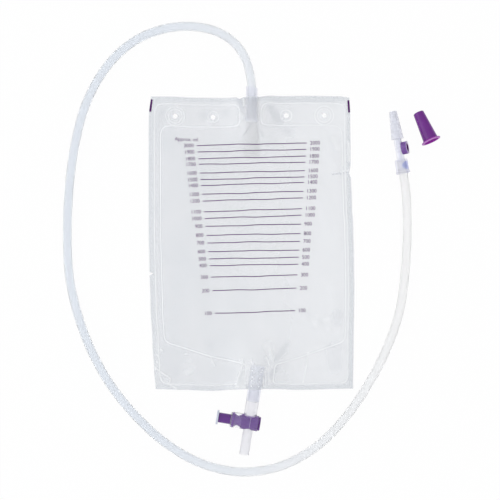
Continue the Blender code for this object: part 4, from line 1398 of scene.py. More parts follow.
    def puff(self, points: Array) -> Array:
        """How far the front film stands up from the back one, its folds included.

        Args:
            points: (n, 2) places in plan.

        Returns:
            (n,) metres, one for each place.
        """
        to_weld = self.weld_distance(points)
        for centre, rings in self.holes():
            disc = np.maximum(np.linalg.norm(points - centre, axis=1) - max(rings), 0.0)
            to_weld = np.minimum(to_weld, disc)
        half, top = self.width / 2 - self.outer_weld, self.length / 2 - self.top_weld
        in_field = (np.abs(points[:, 0]) < half) & (np.abs(points[:, 1]) < top)
        bands = [inside(points, self.weld_line(side, self.line_step)) for side in (-1, 1)]
        in_band = bands[0] | bands[1]
        height = np.where(in_band, self.band_puff, np.where(in_field, self.pocket_puff, 0.0))
        rise = 1.0 - np.exp(-np.maximum(to_weld - self.weld_half_width, 0.0) / self.puff_reach)
        folds = sum(shape.height(points) for shape in self.creases + self.ripples)
        free = self.held_share + (1.0 - self.held_share) * ease(to_weld / self.fold_reach)
        hold = free * (1.0 - self.margin_hold * self.marginness(points))
        return height * rise + folds * hold

    def front(self, points: Array) -> Array:
        """The underside of the front film at each point.

        Args:
            points: (n, 2) places in plan.

        Returns:
            (n,) heights above the table.
        """
        lift, opening = self.lifts(points)
        slack = 1.0 - np.minimum(opening / self.outlet.film_radius, 1.0)
        ridge = self.weld_rise * self.weldness(points) + self.dot_rise * self.dots(points)
        stand = (self.slack_share * lift + self.puff(points)) * slack
        soft = self.least_stand
        stand = soft * np.logaddexp(0.0, stand / soft) * np.minimum(slack * 3.0, 1.0)
        return self.film + self.seam_gap + lift + opening + stand + ridge

    def back(self, points: Array) -> Array:
        """The upper side of the back film at each point."""
        lift, opening = self.lifts(points)
        return self.film + np.maximum(lift - opening, 0.0)


@dataclass
class FilmBag:
    """The two films and the valve between them."""

    plan: FilmPlan
    finishes: Finishes
    grid: float = 2.3 * MM
    fine_step: float = 0.9 * MM
    edge_step: float = 1.4 * MM
    weld_step: float = 2.0 * MM
    weld_rows: tuple[float, ...] = (-1.0, -0.5, 0.0, 0.5, 1.0)  # shares of its half width
    ring_facets: int = 56
    grid_gap: float = 0.42  # kept clear beside a line, as a share of the grid's step
    fine_gap: float = 0.3 * MM
    valve_length: float = 36 * MM
    valve_width: float = 16.5 * MM
    valve_radius: float = 5.1 * MM
    valve_flat_from: float = 0.74  # a share of its length
    valve_bow: float = 0.9 * MM  # how much its flat end is lifted
    valve_opening: float = 0.12 * MM
    valve_ripple: float = 0.1 * MM

    def lines(self, with_welds: bool) -> list[Array]:
        """The closed lines that a film's mesh follows: the cut edge, the holes, the welds.

        Args:
            with_welds: whether the welds are among them.

        Returns:
            (n, 2) points of each line.
        """
        plan = self.plan
        lines = [plan.cut_line(self.edge_step)]
        turn = np.linspace(0.0, math.tau, self.ring_facets, endpoint=False)
        circle = np.stack((np.cos(turn), np.sin(turn)), axis=1)
        for centre, rings in plan.holes():
            lines.append(centre + circle * plan.hole_radius)
            if with_welds:
                lines += [
                    centre + circle * (ring + share * plan.weld_half_width)
                    for ring in rings
                    for share in self.weld_rows
                ]
        if with_welds:
            for side in (-1, 1):
                middle = plan.weld_line(side, self.weld_step)
                along = np.roll(middle, -1, axis=0) - np.roll(middle, 1, axis=0)
                along /= np.linalg.norm(along, axis=1)[:, None]
                across = np.stack((-along[:, 1], along[:, 0]), axis=1)
                lines += [middle + across * (share * plan.weld_half_width) for share in self.weld_rows]
        return lines

    def fill_points(self, lines: list[Array], fine: Array) -> Array:
        """Points in a triangular grid, clear of the lines and the fine points, and those points.

        Args:
            lines: the closed lines that the mesh follows.
            fine: (n, 2) points of the folds, which may be none.

        Returns:
            (m, 2) points.
        """
        plan = self.plan
        rows = np.arange(-plan.length / 2, plan.length / 2, self.grid * math.sqrt(3) / 2)
        columns = np.arange(-plan.width / 2, plan.width / 2, self.grid)
        grid = np.array([(x + (self.grid / 2) * (i % 2), y) for i, y in enumerate(rows) for x in columns])
        points = plan.laid(grid)
        keep = inside(points, lines[0])
        for line in lines:
            keep[keep] = distance_to(points[keep], line, closed=True) > self.grid * self.grid_gap
        for centre, _ in plan.holes():
            keep &= np.linalg.norm(points - centre, axis=1) > plan.hole_radius
        for point in fine:
            keep[keep] = np.linalg.norm(points[keep] - point, axis=1) > self.fine_step
        free = inside(fine, lines[0]) if len(fine) else np.zeros(0, bool)
        for line in lines:
            free[free] = distance_to(fine[free], line, closed=True) > self.fine_gap
        return np.concatenate((points[keep], fine[free]))

    def surface(self, name: str, with_welds: bool) -> Piece:
        """A film as an open surface in plan, its triangles following its lines.

        Args:
            name: the piece's name.
            with_welds: whether it follows the weld lines too.

        Returns:
            The flat piece.
        """
        plan = self.plan
        lines = self.lines(with_welds)
        points: list[Vector] = []
        edges: list[tuple[int, int]] = []
        for line in lines:
            first = len(points)
            points += [Vector(point) for point in line]
            edges += [(i, i + 1) for i in range(first, len(points) - 1)] + [(len(points) - 1, first)]
        fine = plan.fine_points(self.fine_step) if with_welds else np.zeros((0, 2))
        points += [Vector(point) for point in self.fill_points(lines, fine)]
        verts, _, faces, _, _, _ = delaunay_2d_cdt(points, edges, [], 0, 1e-7, False)
        flat = np.array([tuple(vert) for vert in verts])
        middles = np.array([flat[list(face)].mean(axis=0) for face in faces])
        keep = inside(middles, lines[0])
        for centre, _ in plan.holes():
            keep &= np.linalg.norm(middles - centre, axis=1) > plan.hole_radius * 0.99
        kept = [face for face, stays in zip(faces, keep) if stays]
        mesh = bpy.data.meshes.new(name)
        mesh.from_pydata([(x, y, 0.0) for x, y in flat], [], kept)
        piece = bpy.data.objects.new(name, mesh)
        bpy.context.scene.collection.objects.link(piece)
        pick(piece)
        bpy.ops.object.mode_set(mode="EDIT")
        bpy.ops.mesh.select_all(action="SELECT")
        bpy.ops.mesh.delete_loose(use_verts=True, use_edges=True, use_faces=False)
        bpy.ops.mesh.select_all(action="SELECT")
        bpy.ops.mesh.normals_make_consistent(inside=False)
        bpy.ops.object.mode_set(mode="OBJECT")
        if sum(face.normal.z for face in mesh.polygons) < 0:
            mesh.flip_normals()
        return piece

    def raise_to(self, piece: Piece, height: Array) -> None:
        """Lifts each vertex of a flat piece to its height.

        Args:
            piece: the piece.
            height: (n,) heights, one for each vertex.
        """
        mesh = piece.data
        places = np.empty(len(mesh.vertices) * 3)
        mesh.vertices.foreach_get("co", places)
        places = places.reshape(-1, 3)
        places[:, 2] = height
        mesh.vertices.foreach_set("co", places.ravel())
        mesh.update()

    def plan_places(self, piece: Piece) -> Array:
        """The (x, y) of each vertex.

        Args:
            piece: the piece.

        Returns:
            (n, 2) places in plan.
        """
        places = np.empty(len(piece.data.vertices) * 3)
        piece.data.vertices.foreach_get("co", places)
        return places.reshape(-1, 3)[:, :2].copy()

    def mark_welds(self, piece: Piece) -> None:
        """Writes the marks that the film's colour reads: welds with the painted highlights of folds and
        facets, margin, and their painted shade.

        Args:
            piece: the film.
        """
        places = self.plan_places(piece)
        plan = self.plan
        marks = {
            # the welds, with the painted highlights of folds and facets
            "weld": plan.whiteness(places),
            "margin": plan.marginness(places),
            # painted shade of the folds and facets
            "fold": plan.shade(places),
        }
        for name, values in marks.items():
            layer = piece.data.attributes.new(name, "FLOAT", "POINT")
            layer.data.foreach_set("value", values)

    def add_film(self, name: str, with_welds: bool, grows: float) -> Piece:
        """Makes one film.

        Args:
            name: the piece's name.
            with_welds: whether the welds stand out of it.
            grows: 1 where its thickness goes up, -1 where it goes down.

        Returns:
            The piece.
        """
        piece = self.surface(name, with_welds)
        places = self.plan_places(piece)
        self.raise_to(piece, self.plan.front(places) if grows > 0 else self.plan.back(places))
        apply_modifier(piece, "SOLIDIFY", thickness=self.plan.film, offset=grows, use_rim=True)
        self.mark_welds(piece)
        smooth(piece, 50)
        return piece

    def add_leaf(self, name: str, side: int) -> Piece:
        """Makes one leaf of the valve: half round at the sleeve, flat at its lips.

        Args:
            name: the piece's name.
            side: 1 for the front leaf, -1 for the back one.

        Returns:
            The piece.
        """
        port = self.plan.inlet
        deselect()
        bpy.ops.mesh.primitive_grid_add(x_subdivisions=24, y_subdivisions=36, size=1.0)
        piece = bpy.context.object
        piece.name = name
        radius = self.valve_radius
        start = port.edge[1] - port.depth - self.plan.film
        rng = np.random.default_rng(21 + side)
        wave = rng.uniform(0, math.tau)
        for vert in piece.data.vertices:
            turn = (vert.co.x + 0.5) * math.pi
            along = 0.5 - vert.co.y
            flat = float(ease(np.array(along / self.valve_flat_from)))
            x = -math.cos(turn) * radius * (1 - flat) + vert.co.x * self.valve_width * flat
            opening = math.sin(turn) * radius * (1 - flat)
            y = start - along * self.valve_length
            lift, _ = port.lift(np.array([(port.edge[0] + x, y)]))
            middle = self.plan.film + float(lift[0]) + self.valve_bow * flat
            ripple = self.valve_ripple * math.sin(along * 9 + wave) * flat
            height = middle + side * (self.valve_opening + opening) + ripple
            vert.co = (port.edge[0] + x, y, height)
        if side < 0:
            piece.data.flip_normals()
        smooth(piece)
        return piece

    def build(self) -> Piece:
        """Makes the films and the valve.

        Returns:
            The front film, which carries the print.
        """
        plan, film = self.plan, self.finishes["film"]
        front = self.add_film("printed_front_film", True, 1.0)
        back = self.add_film("plain_back_film", False, -1.0)
        finish_piece(front, film, stands_for="front_film")
        finish_piece(back, film, stands_for="back_film")
        for name, side in (("valve_front_leaf", 1), ("valve_back_leaf", -1)):
            leaf = self.add_leaf(name + "_film", side)
            finish_piece(leaf, self.finishes["valve"], stands_for=name)
        return front


@dataclass
class ScalePrint:
    """The printed scale, its numbers and the marks at the cut edges."""

    film: Piece
    plan: FilmPlan
    finishes: Finishes
    line_width: float = 0.72 * MM
    line_step: float = 1.5 * MM
    numeral_height: float = 3.85 * MM
    numeral_share: float = 0.73  # a figure's height, as a share of the font's size
    numeral_stretch: float = 0.96
    numeral_weight: float = -0.025 * MM
    sway: Pair = (0.22 * MM, 0.1 * MM)  # how far a line's long and short waves bend it
    wave_lengths: Pair = (11 * MM, 4.6 * MM)  # for each radian of the waves
    sway_reach: float = 34 * MM  # from the bag's middle
    far_sway: float = 0.4  # the share of the sway that stays past it
    label_gap: float = 3.2 * MM
    drop_from: float = 40 * MM
    ink_lift: float = 0.12 * MM
    ink_depth: float = 0.03 * MM
    unit_at: Pair = (-51.7 * MM, 103.0 * MM)
    unit_lean: float = -0.03  # radians
    mark_width: float = 1.9 * MM
    mark_inset: float = 0.62  # from the cut edge to its middle, as a share of its width
    mark_span: Pair = (143.2 * MM, 131.0 * MM)
    # per volume in ml: the heights of its line's left and right ends, in mm
    heights: tuple[tuple[int, float, float], ...] = (
        (2000, 97.2, 99.6), (1900, 90.7, 93.4), (1800, 84.0, 86.5), (1700, 78.4, 80.6),
        (1600, 69.7, 72.1), (1500, 63.1, 66.0), (1400, 57.3, 60.4), (1300, 48.5, 51.6),
        (1200, 41.8, 44.9), (1100, 31.1, 34.3), (1000, 24.4, 27.6), (900, 16.6, 18.9),
        (800, 7.7, 9.4), (700, 0.1, 1.7), (600, -8.6, -7.0), (500, -15.9, -14.3),
        (400, -22.6, -21.1), (300, -34.2, -31.9), (200, -47.6, -45.1), (100, -70.2, -67.5),
    )
    left_ends: Pair = (-53.8, -35.8)  # mm, of the top and the bottom line
    right_ends: Pair = (55.6, 43.7)

    def ends(self, left_height: float, right_height: float) -> tuple[Vector, Vector]:
        """A line's two ends, from the slant of the scale's sides.

        Args:
            left_height: of its left end, in mm.
            right_height: of its right end, in mm.

        Returns:
            The left end and the right one, in metres.
        """
        top, bottom = self.heights[0][1], self.heights[-1][1]
        share = (top - left_height) / (top - bottom)
        left = self.left_ends[0] + (self.left_ends[1] - self.left_ends[0]) * share
        right = self.right_ends[0] + (self.right_ends[1] - self.right_ends[0]) * share
        return Vector((left, left_height)) * MM, Vector((right, right_height)) * MM

    def lay_on_film(self, piece: Piece) -> None:
        """Drapes a flat piece of ink on the front film and gives it its thickness.

        Args:
            piece: the ink, above the film.
        """
        apply_modifier(
            piece,
            "SHRINKWRAP",
            target=self.film,
            wrap_method="PROJECT",
            wrap_mode="ABOVE_SURFACE",
            use_project_z=True,
            use_negative_direction=True,
            use_positive_direction=False,
            offset=self.ink_lift,
        )
        apply_modifier(piece, "SOLIDIFY", thickness=self.ink_depth, offset=1.0, use_rim=True)
        finish_piece(piece, self.finishes["ink"])

    def strip(self, name: str, start: Vector, end: Vector, width: float) -> Piece:
        """A flat strip above the film, divided so that it can follow it.

        Args:
            name: the piece's name.
            start: the middle of one end.
            end: the middle of the other.
            width: of the strip.

        Returns:
            The strip.
        """
        span = end - start
        count = max(4, round(span.length / self.line_step))
        deselect()
        bpy.ops.mesh.primitive_grid_add(x_subdivisions=count, y_subdivisions=1, size=1.0)
        piece = bpy.context.object
        piece.name = name
        middle = (start + end) / 2
        turn = Matrix.Rotation(math.atan2(span.y, span.x), 4, "Z")
        size = Matrix.Diagonal((span.length, width, 1.0, 1.0))
        place(piece, Matrix.Translation((middle.x, middle.y, self.drop_from)) @ turn @ size)
        return piece

    def bend(self, piece: Piece, seed: int) -> None:
        """Bends a strip slightly in its plane, as the film's small folds do.

        Args:
            piece: the strip.
            seed: of the two waves' starts.
        """
        rng = np.random.default_rng(seed)
        starts = rng.uniform(0, math.tau, 3)
        for vert in piece.data.vertices:
            long_wave = math.sin(vert.co.x / self.wave_lengths[0] + starts[0])
            short_wave = math.sin(vert.co.x / self.wave_lengths[1] + starts[1])
            near = math.exp(-((vert.co.x / self.sway_reach) ** 2))
            sway = self.sway[0] * long_wave + self.sway[1] * short_wave
            vert.co.y += sway * (self.far_sway + near)

    def add_words(self, words: str, at: Vector, align: str, lean: float) -> Piece:
        """Sets a few words or figures above the film, upright on the scale.

        Args:
            words: what they say.
            at: the middle of the side that they are aligned to.
            align: "LEFT" or "RIGHT".
            lean: radians, how far their line is turned.

        Returns:
            The words as a flat mesh.
        """
        deselect()
        bpy.ops.object.text_add()
        piece = bpy.context.object
        piece.data.body = words
        piece.data.align_x = align
        piece.data.align_y = "CENTER"
        piece.data.size = self.numeral_height / self.numeral_share
        piece.data.offset = self.numeral_weight
        piece.data.resolution_u = 4
        bpy.ops.object.convert(target="MESH")
        piece = bpy.context.object
        size = Matrix.Diagonal((self.numeral_stretch, 1.0, 1.0, 1.0))
        turn = Matrix.Rotation(lean, 4, "Z")
        place(piece, Matrix.Translation((at.x, at.y, self.drop_from)) @ turn @ size)
        return piece

    def build(self) -> None:
        """Prints the lines, the numbers and the marks."""
        for volume, left_height, right_height in self.heights:
            left, right = self.ends(left_height, right_height)
            lean = math.atan2(right.y - left.y, right.x - left.x)
            line = self.strip(f"scale_line_{volume}", left, right, self.line_width)
            self.bend(line, volume)
            self.lay_on_film(line)
            gap = Vector((self.label_gap, 0.0))
            for side, at, align in (("left", left - gap, "RIGHT"), ("right", right + gap, "LEFT")):
                label = self.add_words(str(volume), at, align, lean)
                label.name = f"scale_figure_{volume}_{side}"
                self.lay_on_film(label)
        unit = self.add_words("Approx. ml.", Vector(self.unit_at), "RIGHT", self.unit_lean)
        unit.name = "scale_unit"
        self.lay_on_film(unit)
        for side, name in ((-1, "left"), (1, "right")):
            edge = side * (self.plan.width / 2 - self.mark_width * self.mark_inset)
            ends = self.plan.laid(np.array([(edge, height) for height in self.mark_span]))
            mark = self.strip(f"edge_mark_{name}", Vector(ends[0]), Vector(ends[1]), self.mark_width)
            self.lay_on_film(mark)


# The drain tube


@dataclass
class DrainTube:
    """A length of clear PVC tubing, laid on the table in one wide loop."""

    finishes: Finishes
    with_pieces: list[Piece]
    outer: float = 8.6 * MM
    wall: float = 1.0 * MM
    spacing: float = 4.0 * MM
    curve_steps: int = 14  # between two stations
    bevel_steps: int = 14
    relax: float = 52 * MM
    table_gap: float = 0.1 * MM
    inner_end: Vector = Vector((0.0008, 0.1250, 0.006368))
    sleeve_top: Vector = Vector((0.0008, 0.1543, 0.006368))
    socket: Vector = Vector((0.1511, 0.0690, 0.0069))
    socket_heading: float = math.radians(9.6)
    in_socket: float = 11.5 * MM
    route: tuple[Pair, ...] = (
        (-0.0003, 0.1640), (-0.0051, 0.1821), (-0.0163, 0.1989), (-0.0332, 0.2099), (-0.0526, 0.2148),
        (-0.0726, 0.2152), (-0.0923, 0.2114), (-0.1108, 0.2039), (-0.1273, 0.1925), (-0.1412, 0.1783),
        (-0.1526, 0.1620), (-0.1617, 0.1441), (-0.1686, 0.1254), (-0.1771, 0.0866), (-0.1814, 0.0470),
        (-0.1827, 0.0072), (-0.1807, -0.0325), (-0.1722, -0.0714), (-0.1581, -0.1086),
        (-0.1384, -0.1431), (-0.1130, -0.1738), (-0.0834, -0.2002), (-0.0486, -0.2196),
        (-0.0097, -0.2278), (0.0296, -0.2219), (0.0646, -0.2029), (0.0929, -0.1750),
        (0.1157, -0.1423), (0.1342, -0.1071), (0.1474, -0.0695), (0.1532, -0.0302), (0.1554, 0.0096),
        (0.1540, 0.0493),
    )

    def stations(self) -> list[Vector]:
        """The tube's route in space, from inside the sleeve to inside the socket.

        Returns:
            The stations.
        """
        lie = self.outer / 2 + self.table_gap
        heading = Vector((-math.sin(self.socket_heading), math.cos(self.socket_heading), 0.0))
        middle = []
        for x, y in self.route:
            near_start = math.dist((x, y), self.sleeve_top[:2])
            near_end = math.dist((x, y), self.socket[:2])
            lift = (self.sleeve_top.z - lie) * float(falloff(np.array(near_start), self.relax))
            lift += (self.socket.z - lie) * float(falloff(np.array(near_end), self.relax))
            middle.append(Vector((x, y, lie + lift)))
        ends = [self.socket, self.socket + heading * self.in_socket]
        return [self.inner_end, self.sleeve_top, *middle, *ends]

    def centreline(self) -> list[Vector]:
        """Points at even spacing along a smooth curve through the stations.

        Returns:
            The points.
        """
        stations = self.stations()
        padded = [stations[0] * 2 - stations[1], *stations, stations[-1] * 2 - stations[-2]]
        fine: list[Vector] = []
        for a, b, c, d in zip(padded, padded[1:], padded[2:], padded[3:]):
            t0, t1 = 0.0, math.sqrt((b - a).length)
            t2 = t1 + math.sqrt((c - b).length)
            t3 = t2 + math.sqrt((d - c).length)
            for i in range(self.curve_steps):
                t = t1 + (t2 - t1) * i / self.curve_steps
                ab = between(a, b, t0, t1, t)
                bc = between(b, c, t1, t2, t)
                cd = between(c, d, t2, t3, t)
                abc = between(ab, bc, t0, t2, t)
                bcd = between(bc, cd, t1, t3, t)
                fine.append(between(abc, bcd, t1, t2, t))
        fine.append(stations[-1])
        places = np.array([tuple(point) for point in fine])
        run = np.concatenate(([0.0], np.cumsum(np.linalg.norm(np.diff(places, axis=0), axis=1))))
        even = np.linspace(0.0, run[-1], round(run[-1] / self.spacing) + 1)
        return [Vector(point) for point in np.stack([np.interp(even, run, c) for c in places.T], axis=1)]

    def build(self) -> Piece:
        """Returns:
            The tube.
        """
        path = self.centreline()
        curve = bpy.data.curves.new("tube_line", "CURVE")
        curve.dimensions = "3D"
        curve.bevel_depth = self.outer / 2
        curve.bevel_resolution = self.bevel_steps
        spline = curve.splines.new("POLY")
        spline.points.add(len(path) - 1)
        for slot, point in zip(spline.points, path):
            slot.co = (*point, 1.0)
        line = bpy.data.objects.new("tube_line", curve)
        bpy.context.scene.collection.objects.link(line)
        pick(line)
        bpy.ops.object.convert(target="MESH")
        piece = bpy.context.object
        piece.name = "clear_drain_tube"
        apply_modifier(piece, "SOLIDIFY", thickness=self.wall, offset=-1.0, use_rim=True)
        smooth(piece, 60)
        finish_piece(piece, self.finishes["tubing"], stands_for="drain_tube")
        return piece


# The ports and fittings


@dataclass
class Sleeve:
    """A short length of soft clear tubing, welded between the films."""

    name: str
    stands_for: str
    origin: Vector
    along: Vector
    outer: float
    bore: float
    length: float
    finish: Material
    edge: float = 0.25 * MM
    cut_lean: float = 0.0  # radians, how far its outer end is cut off square
    rings: tuple[float, ...] = (0.85, 0.6, 0.4, 0.2)  # shares of its length

    def build(self) -> None:
        """Makes the sleeve."""
        outer, bore = self.outer / 2, self.bore / 2
        profile = [
            (bore, self.length),
            *rounded(outer, self.length, self.edge, 4),
            *[(outer, self.length * share) for share in self.rings],
            *rounded(outer, 0.0, self.edge, 4, low=True),
            (bore, 0.0),
            (bore, self.length),
        ]
        piece = turned(self.name, profile, 72)
        if self.cut_lean:
            for vert in piece.data.vertices:
                if vert.co.z > self.length * 0.95:
                    vert.co.z += vert.co.x * math.tan(self.cut_lean)
        place(piece, frame_along(self.origin, self.along))
        smooth(piece)
        finish_piece(piece, self.finish, stands_for=self.stands_for)


@dataclass
class PushTap:
    """The push-pull T tap: a cross-bored barrel, a plunger with a waist, a snapped-on button."""

    finishes: Finishes
    crossing: Vector
    slide: Vector  # the plunger's way, from its button to its end plate
    facets: int = 96
    barrel_outer: float = 15.1 * MM
    barrel_bore: float = 12.8 * MM
    barrel_left: float = 18.9 * MM
    barrel_right: float = 9.1 * MM
    end_wall: float = 1.1 * MM
    barrel_round: float = 1.9 * MM
    edge: float = 0.3 * MM
    flow_bore: float = 7.6 * MM
    neck_outer: float = 12.7 * MM
    neck_top: float = 21.4 * MM
    neck_edge: float = 0.25 * MM
    taper: Pair = (0.5 * MM, -3.5 * MM)  # where the pipe narrows from neck to spout
    spigot_outer: float = 10.0 * MM
    spigot_top: float = 35.1 * MM
    spigot_edge: float = 0.5 * MM
    spout_outer: float = 9.6 * MM
    spout_end: float = 32.0 * MM
    overrun: float = 2.0 * MM
    fit: float = 0.3 * MM
    travel: float = 11.5 * MM
    shaft: float = 4.9 * MM
    waist: float = 4.9 * MM
    waist_length: float = 7.0 * MM
    waist_steps: int = 16
    land_edge: float = 0.5 * MM
    land_end: float = 0.9 * MM
    seal_squeeze: float = 0.03 * MM  # the soft spool presses on the barrel
    seam_at: float = 0.7 * MM
    seam_half: float = 0.3 * MM
    seam_depth: float = 0.15 * MM
    plate_outer: float = 13.5 * MM
    plate_thickness: float = 1.5 * MM
    plate_dish: Pair = (0.72, 0.78)  # shares of its radius, where the dish starts to rise and ends
    button_outer: float = 14.2 * MM
    button_thickness: float = 2.0 * MM
    button_edge: float = 0.5 * MM
    button_dish: Pair = (2.0 * MM, 2.6 * MM)  # in from its edge
    button_gap: float = 0.4 * MM
    stem: float = 1.8 * MM
    stem_length: float = 6.8 * MM

    @property
    def barrel_frame(self) -> Matrix:
        """Z along the slide."""
        return frame_along(self.crossing, self.slide)

    @property
    def pipe_frame(self) -> Matrix:
        """Z up the flow bore, towards the bag."""
        return frame_along(self.crossing, UP.cross(self.slide))

    @property
    def button_face(self) -> float:
        """How far along the slide the button's inner face lies."""
        return -self.barrel_left - self.travel - self.button_gap

    def pipe_profile(self) -> list[Pair]:
        """The outside of spigot, neck and spout, from the top down.

        Returns:
            (radius, height) points.
        """
        neck, spout, spigot = self.neck_outer / 2, self.spout_outer / 2, self.spigot_outer / 2
        barrel = self.barrel_outer / 2 - SKIN
        return [
            (0.0, self.spigot_top),
            (spigot - self.spigot_edge, self.spigot_top),
            (spigot, self.spigot_top - self.spigot_edge),
            (spigot, self.neck_top),
            *rounded(neck, self.neck_top, self.neck_edge, 3),
            (neck, barrel),
            (neck, self.taper[0]),
            (spout, self.taper[1]),
            (spout, -barrel),
            *rounded(spout, -self.spout_end, self.edge, 4, low=True),
            (0.0, -self.spout_end),
        ]

    def add_body(self) -> None:
        """Barrel, neck and spout in one clear moulding, bored both ways."""
        radius, right, left = self.barrel_outer / 2, self.barrel_right, -self.barrel_left
        barrel = [
            (0.0, right),
            *rounded(radius, right, self.edge, 3),
            *rounded(radius, left, self.barrel_round, 6, low=True),
            (0.0, left),
        ]
        body = turned("tap_moulding", barrel, self.facets, self.barrel_frame)
        join_or_cut(body, Cut.JOIN, self.pipe_profile(), self.facets, self.pipe_frame)
        bore, hole, inner = self.barrel_bore / 2, self.shaft + self.fit, left + self.end_wall
        hollow = cylinder(bore, right + self.overrun, inner)[:-1]
        hollow += cylinder(hole, inner, left - self.overrun)[1:]
        join_or_cut(body, Cut.REMOVE, hollow, self.facets, self.barrel_frame)
        flow = cylinder(self.flow_bore / 2, self.spigot_top + self.overrun, -self.spout_end - self.overrun)
        join_or_cut(body, Cut.REMOVE, flow, self.facets, self.pipe_frame)
        smooth(body)
        up_pipe = depth_along(self.crossing, UP.cross(self.slide).normalized())
        along = depth_along(self.crossing, self.slide)

        def is_hazy(middle: Vector) -> bool:
            """Whether a face lies on the spigot, the spout or the barrel's closed end."""
            return abs(up_pipe(middle)) > radius - SKIN / 2 or along(middle) < left + 8 * SKIN

        finish_piece(
            body, self.finishes["styrene"], BAG, "tap_body",
            [(self.finishes["pipe"], is_hazy)],
        )

    def add_plunger(self) -> None:
        """The spool: end plate, two pairs of lips, a waist, and the shaft that the button sits on."""
        land = self.barrel_bore / 2 + self.seal_squeeze
        face = self.barrel_right + self.fit
        left = -self.barrel_left + self.end_wall + self.fit
        shaft_end = self.button_face + SKIN / 5
        plate, top = self.plate_outer / 2, face + self.plate_thickness
        socket, seam, half = self.stem + SKIN, self.seam_at, self.seam_half
        floor = face + self.plate_thickness * 0.8
        profile = [
            (0.0, floor),
            (plate * self.plate_dish[0], floor),
            (plate * self.plate_dish[1], top),
            *rounded(plate, top, self.edge, 3),
            (plate, face),
            (land, face),
            (land, face - self.land_end),
            (land, seam + half),
            (land - self.seam_depth, seam + half - SKIN),
            (land - self.seam_depth, seam - half + SKIN),
            (land, seam - half),
        ]
        for i in range(self.waist_steps + 1):
            share = i / self.waist_steps
            depth = (land - self.waist) * math.sin(math.pi * share) ** 1.5
            profile.append((land - depth, -self.travel + self.waist_length / 2 * (1 - 2 * share)))
        profile += [
            *rounded(land, left, self.land_edge, 4, low=True),
            (self.shaft, left),
            (self.shaft, shaft_end),
            (socket, shaft_end),
            (socket, shaft_end + self.stem_length),
            (0.0, shaft_end + self.stem_length),
        ]
        piece = turned("plunger_spool", profile, self.facets, self.barrel_frame)
        smooth(piece)
        along = depth_along(self.crossing, self.slide)
        finish_piece(
            piece, self.finishes["plunger"], PLUNGER, "tap_plunger",
            [
                # painted highlight along the seam groove
                (self.finishes["seam"], lambda middle: abs(along(middle) - seam) < half + SKIN / 5),
                # painted light on the lands
                (self.finishes["lands_painted_light"], lambda middle: left + SKIN < along(middle) < face - self.land_end),
            ],
        )

    def add_button(self) -> None:
        """The disc that the thumb pushes, with its stem and a shallow dish."""
        face, edge = self.button_face, self.button_edge
        back = face - self.button_thickness
        radius, tip = self.button_outer / 2, face + self.stem_length - SKIN
        profile = [
            (0.0, tip),
            (self.stem, tip),
            (self.stem, face),
            *rounded(radius, face, edge, 4),
            *rounded(radius, back, edge, 4, low=True),
            (radius - self.button_dish[0], back),
            (radius - self.button_dish[1], back + edge),
            (0.0, back + edge),
        ]
        piece = turned("thumb_button", profile, self.facets, self.barrel_frame)
        smooth(piece)
        finish_piece(piece, self.finishes["button"], PLUNGER, "plunger_button")

    def build(self) -> None:
        """Makes the three pieces of the tap."""
        self.add_body()
        self.add_plunger()
        self.add_button()


